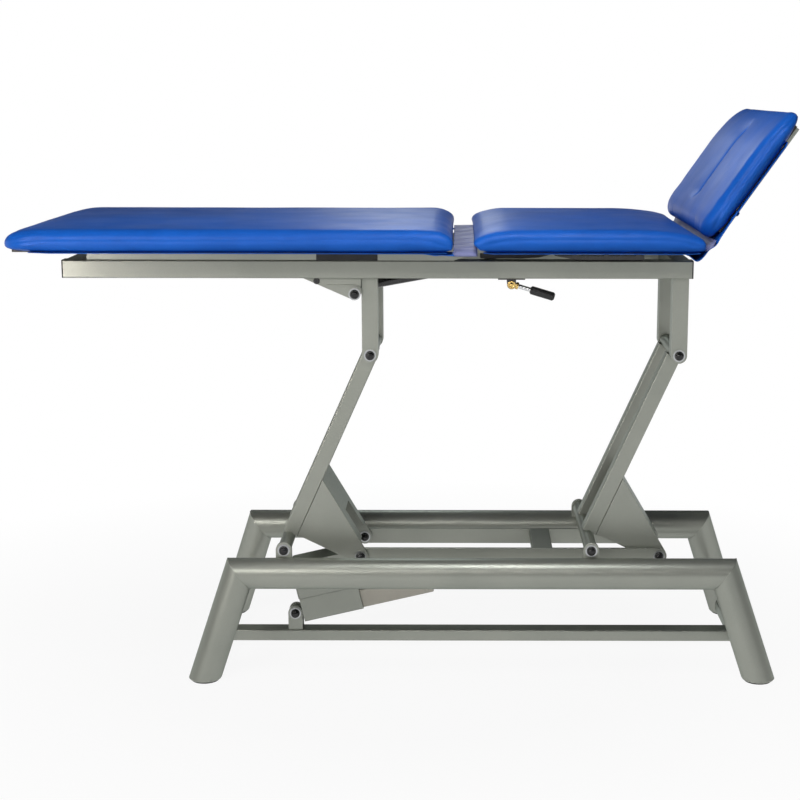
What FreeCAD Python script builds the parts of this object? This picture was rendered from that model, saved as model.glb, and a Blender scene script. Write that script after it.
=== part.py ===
import FreeCAD, Part
import math
import os
from types import SimpleNamespace

import Sketcher

# Height-adjustable three-section treatment couch. +X runs to the head end, +Y to the far side,
# +Z up. The origin is on the floor under the middle of the couch's length and width.

SIZES = [
    # Base
    ("tube_diameter", 70, "round tube of rails and legs"),
    ("tube_wall", 3, ""),
    ("rail_spacing", 431.5, "between the axes of the base rails"),
    ("rail_height", 239, "axis of the base rails above the floor"),
    ("left_overhang", 100.9, "left mitre corner from the left pivot"),
    ("right_overhang", 301.2, "right mitre corner from the right pivot"),
    ("splay_along", 18.1, "legs lean out along the couch, degrees"),
    ("splay_across", 8.35, "legs lean out across the couch, degrees"),
    ("foot_height", 8, "rubber foot pad"),
    ("foot_rim", 3, "pad stands out round the leg"),
    ("stringer_width", 48, ""),
    ("stringer_height", 26, ""),
    ("stringer_lift", 14.5, "underside above the floor"),
    ("section_wall", 2.5, "wall of every square section"),
    ("section_round", 3, "outer corner radius of every square section"),
    ("low_tube_width", 40, "low cross tubes between the legs"),
    # Pivots
    ("left_pivot_x", -270.6, "left lower pivot"),
    ("pivot_span", 693.3, "between left and right pivots"),
    ("pivot_height", 289.4, "lower pivots above the floor"),
    ("lug_width", 36, ""),
    ("lug_thickness", 12, ""),
    ("lug_inner", 192, "inner face of the lugs from the middle plane"),
    ("pin_diameter", 16, ""),
    ("pin_fit", 0.05, "radial clearance of every turning pin"),
    ("bush_length", 42, ""),
    ("end_gap", 1, "side clearance of turning tubes"),
    ("washer_thickness", 3, ""),
    ("washer_diameter", 27, ""),
    ("cap_diameter", 21, ""),
    ("cap_height", 13, ""),
    ("cap_bevel", 3.5, ""),
    # Cranks
    ("cross_tube_diameter", 30, "pivot tubes of the cranks"),
    ("cross_tube_bore", 22, ""),
    ("arm_side", 35, ""),
    ("arm_spacing", 145, ""),
    ("arm_length", 476.3, "lower to upper pivot"),
    ("arm_angle", 65.85, "arms above the horizontal, degrees"),
    ("arm_bite", 4, "arm ends reach past the tube's tangent"),
    ("crank_reach", 166.7, "link pivot right of the lower pivot"),
    ("crank_drop", 44.6, "link pivot below the lower pivot"),
    ("nose_radius", 18, "round end of plates and link bars"),
    ("plate_thickness", 6, ""),
    ("heel_reach", 34.6, "heel of the plate's lower edge"),
    ("plate_rise", 158, "plate's top corner, up the arm"),
    ("web_stop", 30, "web ends short of the link pivot"),
    ("side_gap", 1, "plate to link bar"),
    # Link frame
    ("bar_thickness", 8, ""),
    ("brace_width", 48, ""),
    ("brace_height", 20, ""),
    ("brace_reach", 422.4, "brace from the left link pivot"),
    ("clevis_drop", 26.8, "actuator pin below the link pivots"),
    ("clevis_radius", 13, ""),
    ("clevis_gap", 24, "between the cheeks"),
    ("cheek_thickness", 6, ""),
    ("eye_gap", 0.5, "eye to cheek"),
    # Actuator
    ("actuator_left", 5, "rear pin right of the left pivot"),
    ("actuator_pin_height", 81.5, ""),
    ("actuator_pin_diameter", 12, ""),
    ("actuator_lug_width", 34, ""),
    ("outer_tube_side", 44, ""),
    ("outer_tube_bore", 34, ""),
    ("outer_tube_end", 332, "mouth of the outer tube from the rear pin"),
    ("rod_diameter", 20, ""),
    ("rod_overlap", 62, "rod inside the outer tube at rest"),
    ("motor_start", 19, "motor housing right of the rear pin"),
    ("motor_width", 143, "motor housing along the couch"),
    ("motor_depth", 84, "across the couch"),
    ("motor_height", 124, ""),
    ("motor_round", 6, ""),
    ("gearbox_start", 19, "from the rear pin"),
    ("gearbox_length", 143, ""),
    ("gearbox_side", 58, ""),
    ("gearbox_rise", 38, "gearbox above the axis"),
    ("gearbox_drop", 24, "gearbox below the axis"),
    ("web_window_stop", 104, "left web is open up to here"),
    ("web_window_width", 92, "room for the motor when the couch is low"),
    # Top frame
    ("post_side", 36, ""),
    ("post_inner", 104, "inner face of the posts from the middle plane"),
    ("post_rise", 176, "upper pivot to the underside of the top frame"),
    ("frame_tube", 40, ""),
    ("frame_spacing", 292, "between the axes of the top rails"),
    ("frame_left", 677.5, "left end from the left upper pivot"),
    ("frame_right", 23.6, "right end from the right upper pivot"),
    ("plug_thickness", 3, ""),
    # Section frames
    ("section_rise", 24.5, "section hinges above the top of the rails"),
    ("mid_hinge_x", 157, "hinge of the middle section"),
    ("head_hinge_x", 649, "hinge of the head section"),
    ("mid_bar_height", 17, ""),
    ("mid_bar_width", 25, ""),
    ("arm_plate", 6, "fixed hinge arm"),
    ("long_frame_start", 145, "left end of the long frame from the cushion's end"),
    ("long_frame_stop", 213, "right end of the long frame from the middle hinge"),
    ("cover_length", 135, "black joint cover"),
    ("cover_proud", 2, ""),
    ("board_thickness", 15, ""),
    ("board_margin", 24, "board inside the cushion's edge"),
    ("bar_side_gap", 1.5, "hinge arm to middle bar"),
    ("hinge_pin_diameter", 10, ""),
    ("long_frame_width", 30, ""),
    ("arm_taper", 45, "hinge arm's underside rises to its tip"),
    ("support_start", 178, "light strip under the middle bars, from the hinge"),
    ("support_length", 198, ""),
    ("support_slope", 50, ""),
    ("support_height", 9, ""),
    ("support_drop", 15, "strip's underside below the bar"),
    ("horn_tube_width", 32, "cross tubes of the middle section"),
    # Cushions
    ("half_width", 350, ""),
    ("cushion_height", 48, ""),
    ("crown", 5, ""),
    ("shoulder", 30, "top edge drawn in from the side"),
    ("tuck", 5, "bottom edge drawn in from the side"),
    ("side_sag", 4, "sides pulled in between the ends"),
    ("long_start", 842, "left end of the long cushion from the origin"),
    ("long_stop", 111, "right end of the long cushion"),
    ("long_corner", 70, "plan radius of the foot-end corners"),
    ("mid_start", 163, "left end of the middle cushion"),
    ("mid_stop", 642, "right end of the middle cushion"),
    ("long_left_roll", 85, ""),
    ("long_right_roll", 50, ""),
    ("head_low_roll", 40, ""),
    ("head_low_drop", 16, ""),
    ("head_top_roll", 95, ""),
    ("mid_left_roll", 75, ""),
    ("mid_right_roll", 145, ""),
    ("roll_drop", 26, "ends of the middle cushion roll down"),
    ("head_start", 32.3, "head cushion from its hinge"),
    ("head_length", 317, ""),
    ("head_angle", 55, "raised head section at rest, degrees"),
    ("head_height", 44, ""),
    ("head_half_width", 336, ""),
    ("head_corner", 60, ""),
    ("head_valley", 9, "channel down the middle of the head cushion"),
    ("head_bar_gap", 2, "head bars inside the middle bars"),
    ("head_bar_width", 15, ""),
    ("head_tube_spacing", 500, ""),
    ("head_tube_length", 262, ""),
    ("head_cross_at", 92, "head cross tube from the hinge"),
    # Gap covers
    ("pleat_count", 12, "pleats side by side, each along the couch"),
    ("pleat_height", 5, ""),
    ("pleat_thickness", 2, ""),
    ("pleat_length", 33, ""),
    ("cover_gap", 0.4, "between a soft cover and its neighbours"),
    ("head_cover_foot", 22, "cover under the cushion, from the hinge"),
    ("head_cover_knee", 3, "cover's bend, from the hinge"),
    ("head_cover_reach", 25, ""),
    ("head_cover_thickness", 2.5, ""),
    # Gas spring
    ("bracket_nose_left", 33, "spring pin in the bracket's nose, left of the left upper pivot"),
    ("bracket_nose_drop", 37, "and below the top frame"),
    ("bracket_end", 150, "bracket's outer corner left of the left upper pivot"),
    ("bracket_plate", 5, ""),
    ("horn_reach", 38, "spring pin on the middle section, right of its hinge"),
    ("horn_drop", 46, "and below it"),
    ("horn_plate", 5, ""),
    ("horn_gap", 24, ""),
    ("spring_pin_diameter", 10, ""),
    ("spring_eye_radius", 12, ""),
    ("bracket_nose_radius", 13, ""),
    ("spring_diameter", 22, ""),
    ("spring_bore", 16, ""),
    ("spring_tube_length", 180, ""),
    ("spring_rod_diameter", 10, ""),
    ("spring_overlap", 60, ""),
    # Release lever
    ("lever_x", 239.9, "lever hub"),
    ("lever_drop", 14, "hub below the top frame"),
    ("lever_plate_width", 60, ""),
    ("lever_plate", 3, ""),
    ("lever_cheek", 3, ""),
    ("hub_diameter", 20, ""),
    ("hub_length", 22, ""),
    ("hub_pin_diameter", 10, ""),
    ("lever_angle", 16.7, "lever hangs below the horizontal, degrees"),
    ("lever_rod_diameter", 10, ""),
    ("lever_rod_length", 44, ""),
    ("lever_rod_bite", 30, "rod inside the grip"),
    ("ring_length", 6, ""),
    ("ring_diameter", 16, ""),
    ("grip_diameter", 19, ""),
    ("grip_length", 56, ""),
    ("grip_bevel", 3, ""),
]


class Size(float):
    """A length or angle that remembers the sheet expression it comes from."""

    def __new__(cls, value, text):
        item = float.__new__(cls, value)
        item.text = text
        return item

    def __add__(self, other):
        return Size(float(self) + float(other), f"({self.text} + {text_of(other)})")

    __radd__ = __add__

    def __sub__(self, other):
        return Size(float(self) - float(other), f"({self.text} - {text_of(other)})")

    def __rsub__(self, other):
        return Size(float(other) - float(self), f"({text_of(other)} - {self.text})")

    def __mul__(self, other):
        return Size(float(self) * float(other), f"({self.text} * {text_of(other)})")

    __rmul__ = __mul__

    def __truediv__(self, other):
        return Size(float(self) / float(other), f"({self.text} / {text_of(other)})")

    def __neg__(self):
        return Size(-float(self), f"(0 - {self.text})")


def text_of(value):
    return value.text if isinstance(value, Size) else repr(value)


def cosine(angle):
    return Size(math.cos(math.radians(angle)), f"cos({text_of(angle)})")


def sine(angle):
    return Size(math.sin(math.radians(angle)), f"sin({text_of(angle)})")


def tangent(angle):
    return Size(math.tan(math.radians(angle)), f"tan({text_of(angle)})")


doc = FreeCAD.newDocument("TreatmentCouch")
sheet = doc.addObject("Spreadsheet::Sheet", "Sizes")
for row, (alias, value, note) in enumerate(SIZES, start=1):
    sheet.set(f"A{row}", str(value))
    sheet.setAlias(f"A{row}", alias)
    sheet.set(f"B{row}", "'" + note)
doc.recompute()
d = SimpleNamespace(**{name: Size(float(sheet.get(name)), f"Sizes.{name}") for name, _, _ in SIZES})

ALONG_X = FreeCAD.Rotation(FreeCAD.Vector(0, 1, 0), 90)
ALONG_Y = FreeCAD.Rotation(FreeCAD.Vector(1, 0, 0), -90)
ALONG_Z = FreeCAD.Rotation()
SIDE_VIEW = FreeCAD.Rotation(FreeCAD.Vector(1, 0, 0), 90)
SECTION_X = FreeCAD.Rotation(FreeCAD.Vector(1, 1, 1), 120)
nodes = []
SUPPORT_FOOT_SHARES = (0.2, 0.55, 0.9)
SIDE_BULGE_SHARE = 0.55
SAG_SHARES = ((0.3, 0.8), (0.5, 1), (0.7, 0.8))


def vector(x, y, z):
    return FreeCAD.Vector(float(x), float(y), float(z))


def bind(item, prop, value):
    """Set a property, through the sheet where the value comes from it."""
    if isinstance(value, Size):
        item.setExpression(prop, value.text)


def place(item, x, y, z, rotation=ALONG_Z):
    """Put an item at a point whose coordinates follow the sheet."""
    item.Placement = FreeCAD.Placement(vector(x, y, z), rotation)
    for axis, value in zip("xyz", (x, y, z)):
        bind(item, f"Placement.Base.{axis}", value)
    return item


def lean(item, x, y, z, angle):
    """Put an item whose length is its local Z, turned about Y by an angle of the sheet."""
    place(item, x, y, z, FreeCAD.Rotation(FreeCAD.Vector(0, 1, 0), float(angle)))
    bind(item, "Placement.Rotation.Angle", angle)
    return item


def node(item, label):
    """Declare a finished sub-part, whose label names its file."""
    item.Label = label
    nodes.append(item)
    return item


def origin_plane(body, role="XY_Plane"):
    return next(item for item in body.Origin.OriginFeatures if item.Role == role)


def tangent_points(start, end):
    """The outer tangent of two circles (x, y, radius), on the right of the way between them."""
    gap_x = float(end[0]) - float(start[0])
    gap_y = float(end[1]) - float(start[1])
    gap = math.hypot(gap_x, gap_y)
    tilt = (float(start[2]) - float(end[2])) / gap
    flat = math.sqrt(1 - tilt * tilt)
    normal_x = gap_y / gap * flat + gap_x / gap * tilt
    normal_y = -gap_x / gap * flat + gap_y / gap * tilt
    points = []
    for x, y, radius in (start, end):
        points.append(vector(float(x) + float(radius) * normal_x, float(y) + float(radius) * normal_y, 0))
    return points, math.atan2(normal_y, normal_x)


def fix(sketch, kind, value, *where):
    """Add one measured constraint, bound to the sheet."""
    index = sketch.addConstraint(Sketcher.Constraint(kind, *where, float(value)))
    bind(sketch, f"Constraints[{index}]", value)


def outline(sketch, corners):
    """A closed counter-clockwise outline. A corner is (x, y), or (x, y, radius) for a round nose."""
    rings = [(*corner, 0)[:3] for corner in corners]
    count = len(rings)
    runs = [tangent_points(rings[i], rings[(i + 1) % count]) for i in range(count)]
    lines = [sketch.addGeometry(Part.LineSegment(*points)) for points, _ in runs]
    for i, (x, y, radius) in enumerate(rings):
        before = lines[i - 1]
        after = lines[i]
        if not radius:
            sketch.addConstraint(Sketcher.Constraint("Coincident", before, 2, after, 1))
            fix(sketch, "DistanceX", x, after, 1)
            fix(sketch, "DistanceY", y, after, 1)
            continue
        first = runs[i - 1][1]
        last = runs[i][1]
        if last < first:
            last += math.tau
        circle = Part.Circle(vector(x, y, 0), FreeCAD.Vector(0, 0, 1), float(radius))
        arc = sketch.addGeometry(Part.ArcOfCircle(circle, first, last))
        sketch.addConstraint(Sketcher.Constraint("Tangent", before, 2, arc, 1))
        sketch.addConstraint(Sketcher.Constraint("Tangent", arc, 2, after, 1))
        fix(sketch, "DistanceX", x, arc, 3)
        fix(sketch, "DistanceY", y, arc, 3)
        fix(sketch, "Radius", radius, arc)


def bore(sketch, x, y, radius):
    """A round hole in a sketch."""
    circle = Part.Circle(vector(x, y, 0), FreeCAD.Vector(0, 0, 1), float(radius))
    ring = sketch.addGeometry(circle)
    fix(sketch, "DistanceX", x, ring, 3)
    fix(sketch, "DistanceY", y, ring, 3)
    fix(sketch, "Radius", radius, ring)


def sketched(name, rings, holes=()):
    """A body with one sketch of closed outlines and round holes."""
    body = doc.addObject("PartDesign::Body", name)
    sketch = body.newObject("Sketcher::SketchObject", name + "_sketch")
    sketch.AttachmentSupport = [(origin_plane(body), "")]
    sketch.MapMode = "FlatFace"
    for corners in rings:
        outline(sketch, corners)
    for x, y, radius in holes:
        bore(sketch, x, y, radius)
    return body, sketch


def padded(name, rings, length, holes=()):
    """A sketched profile padded along its local Z."""
    body, sketch = sketched(name, rings, holes)
    pad = body.newObject("PartDesign::Pad", name + "_pad")
    pad.Profile = sketch
    pad.Length = float(length)
    bind(pad, "Length", length)
    return body


def plate(name, corners, y_low, thickness, at=(0, 0), holes=()):
    """A plate cut to an outline in the side view, from y_low towards the far side."""
    body = padded(name, [corners], thickness, holes)
    return place(body, at[0], y_low + thickness, at[1], SIDE_VIEW)


def rounded(width, height, radius):
    """A rounded rectangle about the sketch's centre."""
    x = width / 2 - radius
    y = height / 2 - radius
    return [(-x, -y, radius), (x, -y, radius), (x, y, radius), (-x, y, radius)]


def rectangle(width, height):
    return [(-width / 2, -height / 2), (width / 2, -height / 2), (width / 2, height / 2), (-width / 2, height / 2)]


def section(name, width, height, length):
    """A length of square section, hollow, with rounded corners."""
    inner = rectangle(width - d.section_wall * 2, height - d.section_wall * 2)
    return padded(name, [rounded(width, height, d.section_round), inner], length)


def turned(name, corners):
    """A turned piece: the outline gives radius against length along its local Y."""
    body, sketch = sketched(name, [corners])
    turn = body.newObject("PartDesign::Revolution", name + "_turn")
    turn.Profile = sketch
    turn.ReferenceAxis = (sketch, ["V_Axis"])
    turn.Angle = 360
    return body


def cylinder(name, radius, length):
    item = doc.addObject("Part::Cylinder", name)
    bind(item, "Radius", radius)
    bind(item, "Height", length)
    return item


def block(name, length, width, height):
    item = doc.addObject("Part::Box", name)
    bind(item, "Length", length)
    bind(item, "Width", width)
    bind(item, "Height", height)
    return item


def cut(name, base, *tools):
    """One piece less the space of others."""
    result = base
    for number, tool in enumerate(tools):
        item = doc.addObject("Part::Cut", f"{name}_cut_{number}")
        item.Base = result
        item.Tool = tool
        result = item
    return result


def fuse(name, *items):
    item = doc.addObject("Part::MultiFuse", name)
    item.Shapes = list(items)
    item.Refine = True
    return item


def group(name, items):
    """Like pieces that share one node, each a separate solid."""
    item = doc.addObject("Part::Compound", name + "_group")
    item.Links = items
    return node(item, name)


def feature(name, shape, x=0, y=0, z=0, rotation=ALONG_Z):
    """A form that neither a sketch nor a primitive fits, placed after its shape."""
    item = doc.addObject("Part::Feature", name)
    item.Shape = shape
    return place(item, x, y, z, rotation)


def tilted(item, x, z, angle):
    """Turn a piece up from the horizontal about a pin across the couch."""
    item.Placement = FreeCAD.Placement(vector(x, 0, z), FreeCAD.Rotation(vector(0, 1, 0), -float(angle)))
    bind(item, "Placement.Base.x", x)
    bind(item, "Placement.Base.z", z)
    bind(item, "Placement.Rotation.Angle", -angle)
    return item


def across(name, radius, length, x, z):
    """A round bar across the couch, centred on the middle plane."""
    return place(cylinder(name, radius, length), x, -length / 2, z, ALONG_Y)


def ring_across(name, radius, hole, length, x, y_low, z):
    """A round tube across the couch."""
    outer = place(cylinder(name + "_outer", radius, length), x, y_low, z, ALONG_Y)
    inner = place(cylinder(name + "_inner", hole, length), x, y_low, z, ALONG_Y)
    return cut(name, outer, inner)


def section_across(name, width, height, length, x, z):
    """A square section across the couch, centred on the middle plane."""
    return place(section(name, width, height, length), x, length / 2, z, SIDE_VIEW)


def facing(sign):
    """Turned pieces look to the front as drawn, and are turned round for the rear."""
    return ALONG_Z if sign < 0 else FreeCAD.Rotation(FreeCAD.Vector(0, 0, 1), 180)


def headed_pin(name, radius, length, x, y, z, sign, tail=0):
    """A pin whose washer head lies on the face at y, with its shank going inwards."""
    head = d.washer_diameter / 2
    corners = [(0, -d.washer_thickness), (head, -d.washer_thickness), (head, 0), (radius, 0), (radius, length)]
    if tail:
        corners += [(tail, length), (tail, length + d.washer_thickness), (0, length + d.washer_thickness)]
    else:
        corners += [(0, length)]
    return place(turned(name, corners), x, y, z, facing(sign))


def dome_cap(name, x, y, z, sign):
    """A domed cap on the washer head of the pin at y."""
    foot = -d.washer_thickness
    top = foot - d.cap_height
    radius = d.cap_diameter / 2
    corners = [(0, top), (radius - d.cap_bevel, top), (radius, top + d.cap_bevel), (radius, foot), (0, foot)]
    return place(turned(name, corners), x, y, z, facing(sign))


# Places worked out from the sizes
tube_radius = d.tube_diameter / 2
rail_y = d.rail_spacing / 2
right_pivot_x = d.left_pivot_x + d.pivot_span
pin_radius = d.pin_diameter / 2
cross_radius = d.cross_tube_diameter / 2
arm_cos = cosine(d.arm_angle)
arm_sin = sine(d.arm_angle)
upper_left_x = d.left_pivot_x + d.arm_length * arm_cos
upper_right_x = upper_left_x + d.pivot_span
upper_z = d.pivot_height + d.arm_length * arm_sin
link_x = d.left_pivot_x + d.crank_reach
link_z = d.pivot_height - d.crank_drop
crank_half = (d.arm_spacing + d.arm_side) / 2
bar_y = crank_half - d.plate_thickness / 2
crank_shift = (d.bar_thickness + d.plate_thickness) / 2 + d.side_gap
stringer_top = d.stringer_lift + d.stringer_height
frame_bottom = upper_z + d.post_rise
frame_top = frame_bottom + d.frame_tube
frame_y = d.frame_spacing / 2
frame_inner = frame_y - d.frame_tube / 2
frame_outer = frame_y + d.frame_tube / 2
hinge_z = frame_top + d.section_rise
half_bar = d.mid_bar_height / 2
board_z = hinge_z + half_bar
post_outer = d.post_inner + d.post_side


def leg_way(end, side):
    """The unit vector down a leg; end is -1 at the left and +1 at the right."""
    along = end * math.tan(math.radians(d.splay_along))
    sideways = side * math.tan(math.radians(d.splay_across))
    return vector(along, sideways, -1).normalize()


def leg_at(end, height):
    """How far the leg's axis has gone from its mitre corner at a height, along and across."""
    fall = d.rail_height - height
    corner = right_pivot_x + d.right_overhang if end > 0 else d.left_pivot_x - d.left_overhang
    return corner + end * (fall * tangent(d.splay_along)), rail_y + fall * tangent(d.splay_across)


def long_tube(start, way, length, hollow=True):
    """A round tube that runs on past its joints, to be trimmed."""
    back = start - way * float(d.tube_diameter)
    reach = float(length + d.tube_diameter * 2)
    outer = Part.makeCylinder(float(tube_radius), reach, back, way)
    if not hollow:
        return outer
    return outer.cut(Part.makeCylinder(float(tube_radius - d.tube_wall), reach, back, way))


def trim(shape, point, normal):
    """Take away what lies past a plane, on the side that its normal points to."""
    side = float(d.tube_diameter) * 4
    waste = Part.makeBox(side, side, side, vector(-side / 2, -side / 2, 0))
    waste.Placement = FreeCAD.Placement(point, FreeCAD.Rotation(FreeCAD.Vector(0, 0, 1), normal))
    return shape.cut(waste)


def foot_trim(leg, end, side):
    """The leg is cut level on its pad."""
    x, y = leg_at(end, d.foot_height)
    return trim(leg, vector(x, side * y, d.foot_height), vector(0, 0, -1))


def make_base():
    pads = []
    for side, word in ((-1, "front"), (1, "rear")):
        rail_way = vector(1, 0, 0)
        left = vector(d.left_pivot_x - d.left_overhang, side * rail_y, d.rail_height)
        right = vector(right_pivot_x + d.right_overhang, side * rail_y, d.rail_height)
        rail = long_tube(left, rail_way, d.pivot_span + d.left_overhang + d.right_overhang)
        for end, corner, hand in ((-1, left, "left"), (1, right, "right")):
            way = leg_way(end, side)
            mitre = (way + rail_way * end).normalize()
            rail = trim(rail, corner, mitre)
            leg = trim(long_tube(corner, way, d.rail_height), corner, -mitre)
            node(feature(f"leg_{word}_{hand}_tube", foot_trim(leg, end, side)), f"leg_{word}_{hand}")
            x, y = leg_at(end, d.foot_height)
            pad = cylinder(f"pad_{word}_{hand}", tube_radius + d.foot_rim, d.foot_height)
            pads.append(place(pad, x, side * y, 0))
        node(feature(f"rail_{word}_tube", rail), f"base_rail_{word}")
    group("foot_pads", pads)
    low_tubes = []
    middle = d.stringer_lift + d.stringer_height / 2
    for end, hand in ((-1, "left"), (1, "right")):
        x, y = leg_at(end, middle)
        tube = section_across(f"low_tube_{hand}", d.low_tube_width, d.stringer_height, y * 2, x, middle)
        tools = []
        for side in (-1, 1):
            start = vector(*leg_at(end, d.rail_height), d.rail_height)
            start.y *= side
            tools.append(feature(f"low_tube_{hand}_notch_{side + 1}",
                                 long_tube(start, leg_way(end, side), d.rail_height, hollow=False)))
        low_tubes.append(cut(f"low_tube_{hand}", tube, *tools))
    group("low_cross_tubes", low_tubes)
    start = leg_at(-1, middle)[0] + d.low_tube_width / 2
    stop = leg_at(1, middle)[0] - d.low_tube_width / 2
    stringer = section("stringer_tube", d.stringer_width, d.stringer_height, stop - start)
    node(place(stringer, start, 0, middle, SECTION_X), "stringer")


def make_lugs():
    """Lugs saddled on the rails, and the cheeks that hold the actuator."""
    half = d.lug_width / 2
    drop = d.pivot_height - d.rail_height - tube_radius / 2
    lugs = []
    for x, hand in ((d.left_pivot_x, "left"), (right_pivot_x, "right")):
        for side, word in ((-1, "front"), (1, "rear")):
            name = f"lug_{word}_{hand}"
            y_low = -d.lug_inner - d.lug_thickness if side < 0 else d.lug_inner
            corners = [(-half, -drop), (half, -drop), (0, 0, half)]
            lug = plate(name, corners, y_low, d.lug_thickness, (x, d.pivot_height), [(0, 0, pin_radius)])
            rail = place(cylinder(name + "_rail", tube_radius, d.lug_width * 2),
                         x - d.lug_width, side * rail_y, d.rail_height, ALONG_X)
            lugs.append(cut(name, lug, rail))
    half = d.actuator_lug_width / 2
    drop = d.actuator_pin_height - stringer_top
    for y_low in (-d.clevis_gap / 2 - d.cheek_thickness, d.clevis_gap / 2):
        corners = [(-half, -drop), (half, -drop), (0, 0, half)]
        lugs.append(plate("actuator_cheek", corners, y_low, d.cheek_thickness,
                          (d.left_pivot_x + d.actuator_left, d.actuator_pin_height),
                          [(0, 0, d.actuator_pin_diameter / 2)]))
    group("pivot_lugs", lugs)


def make_base_pins():
    """Pins that the cranks turn on, with their caps, and the actuator's rear pin."""
    face = d.lug_inner + d.lug_thickness
    length = d.lug_thickness + d.end_gap + d.bush_length
    pins = []
    caps = []
    for x in (d.left_pivot_x, right_pivot_x):
        for side in (-1, 1):
            pins.append(headed_pin("lower_pin", pin_radius, length, x, side * face, d.pivot_height, side))
            caps.append(dome_cap("lower_cap", x, side * face, d.pivot_height, side))
    width = d.clevis_gap + d.cheek_thickness * 2
    rear_x = d.left_pivot_x + d.actuator_left
    pins.append(headed_pin("actuator_rear_pin", d.actuator_pin_diameter / 2, width, rear_x, -width / 2,
                           d.actuator_pin_height, -1))
    caps.append(dome_cap("rear_cap", rear_x, -width / 2, d.actuator_pin_height, -1))
    group("base_pins", pins)
    group("base_pin_caps", caps)


def make_crank(hand, x, shift):
    """A bell crank: pivot tube, two arms, plates with their web, upper tube and bushes."""
    lower_half = d.lug_inner - d.end_gap
    upper_half = d.post_inner - d.end_gap
    top_x = x + d.arm_length * arm_cos
    hole = d.cross_tube_bore / 2
    node(ring_across(f"{hand}_lower", cross_radius, hole, lower_half * 2, x, -lower_half, d.pivot_height),
         f"{hand}_pivot_tube")
    node(ring_across(f"{hand}_upper", cross_radius, hole, upper_half * 2, top_x, -upper_half, upper_z),
         f"{hand}_upper_tube")
    bushes = []
    for bush_x, half, z in ((x, lower_half, d.pivot_height), (top_x, upper_half, upper_z)):
        for y_low in (-half, half - d.bush_length):
            bushes.append(ring_across(f"{hand}_bush", hole, pin_radius + d.pin_fit, d.bush_length,
                                      bush_x, y_low, z))
    group(f"{hand}_bushes", bushes)
    start = cross_radius - d.arm_bite
    arms = []
    for side in (-1, 1):
        y = shift + side * (d.arm_spacing / 2)
        arm = section(f"{hand}_arm", d.arm_side, d.arm_side, d.arm_length - start * 2)
        lean(arm, x + start * arm_cos, y, d.pivot_height + start * arm_sin, 90 - d.arm_angle)
        low = across(f"{hand}_arm_low", cross_radius, lower_half * 2, x, d.pivot_height)
        high = across(f"{hand}_arm_high", cross_radius, upper_half * 2, top_x, upper_z)
        arms.append(cut(f"{hand}_arm", arm, low, high))
    group(f"{hand}_crank_arms", arms)
    make_crank_plates(hand, x, shift, start)


def make_crank_plates(hand, x, shift, start):
    """Two plates from the arms' lower edge to the link pivot, closed by a web along their edge."""
    half = d.arm_side / 2
    low = (half * arm_sin + start * arm_cos, start * arm_sin - half * arm_cos)
    top = (half * arm_sin + d.plate_rise * arm_cos, d.plate_rise * arm_sin - half * arm_cos)
    nose = (d.crank_reach, -d.crank_drop)
    corners = [low, (d.heel_reach, 0), (*nose, d.nose_radius), top]
    at = (x, d.pivot_height)
    hole = [(*nose, pin_radius + d.pin_fit)]
    pieces = []
    for y_low in (shift - crank_half, shift + crank_half - d.plate_thickness):
        pieces.append(plate(f"{hand}_plate", corners, y_low, d.plate_thickness, at, hole))
    (foot, head), _ = tangent_points((*nose, d.nose_radius), (*top, 0))
    way = (head - foot).normalize()
    inward = vector(-way.y, way.x, 0)
    foot += way * float(d.web_stop)
    slope = -(inward.x * arm_cos + inward.y * arm_sin)
    inner_top = vector(top[0] - d.plate_thickness / slope * arm_cos,
                       top[1] - d.plate_thickness / slope * arm_sin, 0)
    edge = [foot, head, inner_top, foot + inward * float(d.plate_thickness)]
    wire = Part.makePolygon([vector(point.x, 0, point.y) for point in (*edge, foot)])
    width = float((crank_half - d.plate_thickness) * 2)
    web = Part.Face(wire).extrude(vector(0, width, 0))
    if hand == "left":
        way_up = vector(way.x, 0, way.y)
        out = vector(-inward.x, 0, -inward.y) * float(d.plate_thickness)
        low = vector(foot.x, 0, foot.y) - way_up * float(d.web_stop) - out * 2
        side = width / 2 - float(shift + d.web_window_width / 2)
        low += vector(0, side, 0)
        high = low + way_up * float(d.web_window_stop)
        window = Part.makePolygon([low, high, high + out * 4, low + out * 4, low])
        web = web.cut(Part.Face(window).extrude(vector(0, d.web_window_width, 0)))
    pieces.append(feature(f"{hand}_web", web, x, shift - crank_half + d.plate_thickness, d.pivot_height))
    group(f"{hand}_crank_plates", pieces)


def make_link_frame():
    """Two flat bars that couple the cranks, braced across, with the actuator's clevis."""
    radius = pin_radius
    bars = []
    for y in (-bar_y, bar_y):
        corners = [(0, 0, d.nose_radius), (d.pivot_span, 0, d.nose_radius)]
        bars.append(plate("link_bar", corners, y - d.bar_thickness / 2, d.bar_thickness, (link_x, link_z),
                          [(0, 0, radius), (d.pivot_span, 0, radius)]))
    group("link_bars", bars)
    brace_x = link_x + d.brace_reach
    brace_z = link_z + d.nose_radius - d.brace_height / 2
    brace = section_across("brace_tube", d.brace_width, d.brace_height, bar_y * 2 - d.bar_thickness,
                           brace_x, brace_z)
    rise = d.clevis_drop + d.nose_radius - d.brace_height
    half = d.brace_width / 2 - d.section_round
    pieces = [brace]
    for y_low in (-d.clevis_gap / 2 - d.cheek_thickness, d.clevis_gap / 2):
        corners = [(0, 0, d.clevis_radius), (half, rise), (-half, rise)]
        pieces.append(plate("clevis_cheek", corners, y_low, d.cheek_thickness, (brace_x, link_z - d.clevis_drop),
                            [(0, 0, d.actuator_pin_diameter / 2)]))
    group("link_brace", pieces)
    make_link_pins(brace_x)


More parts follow.
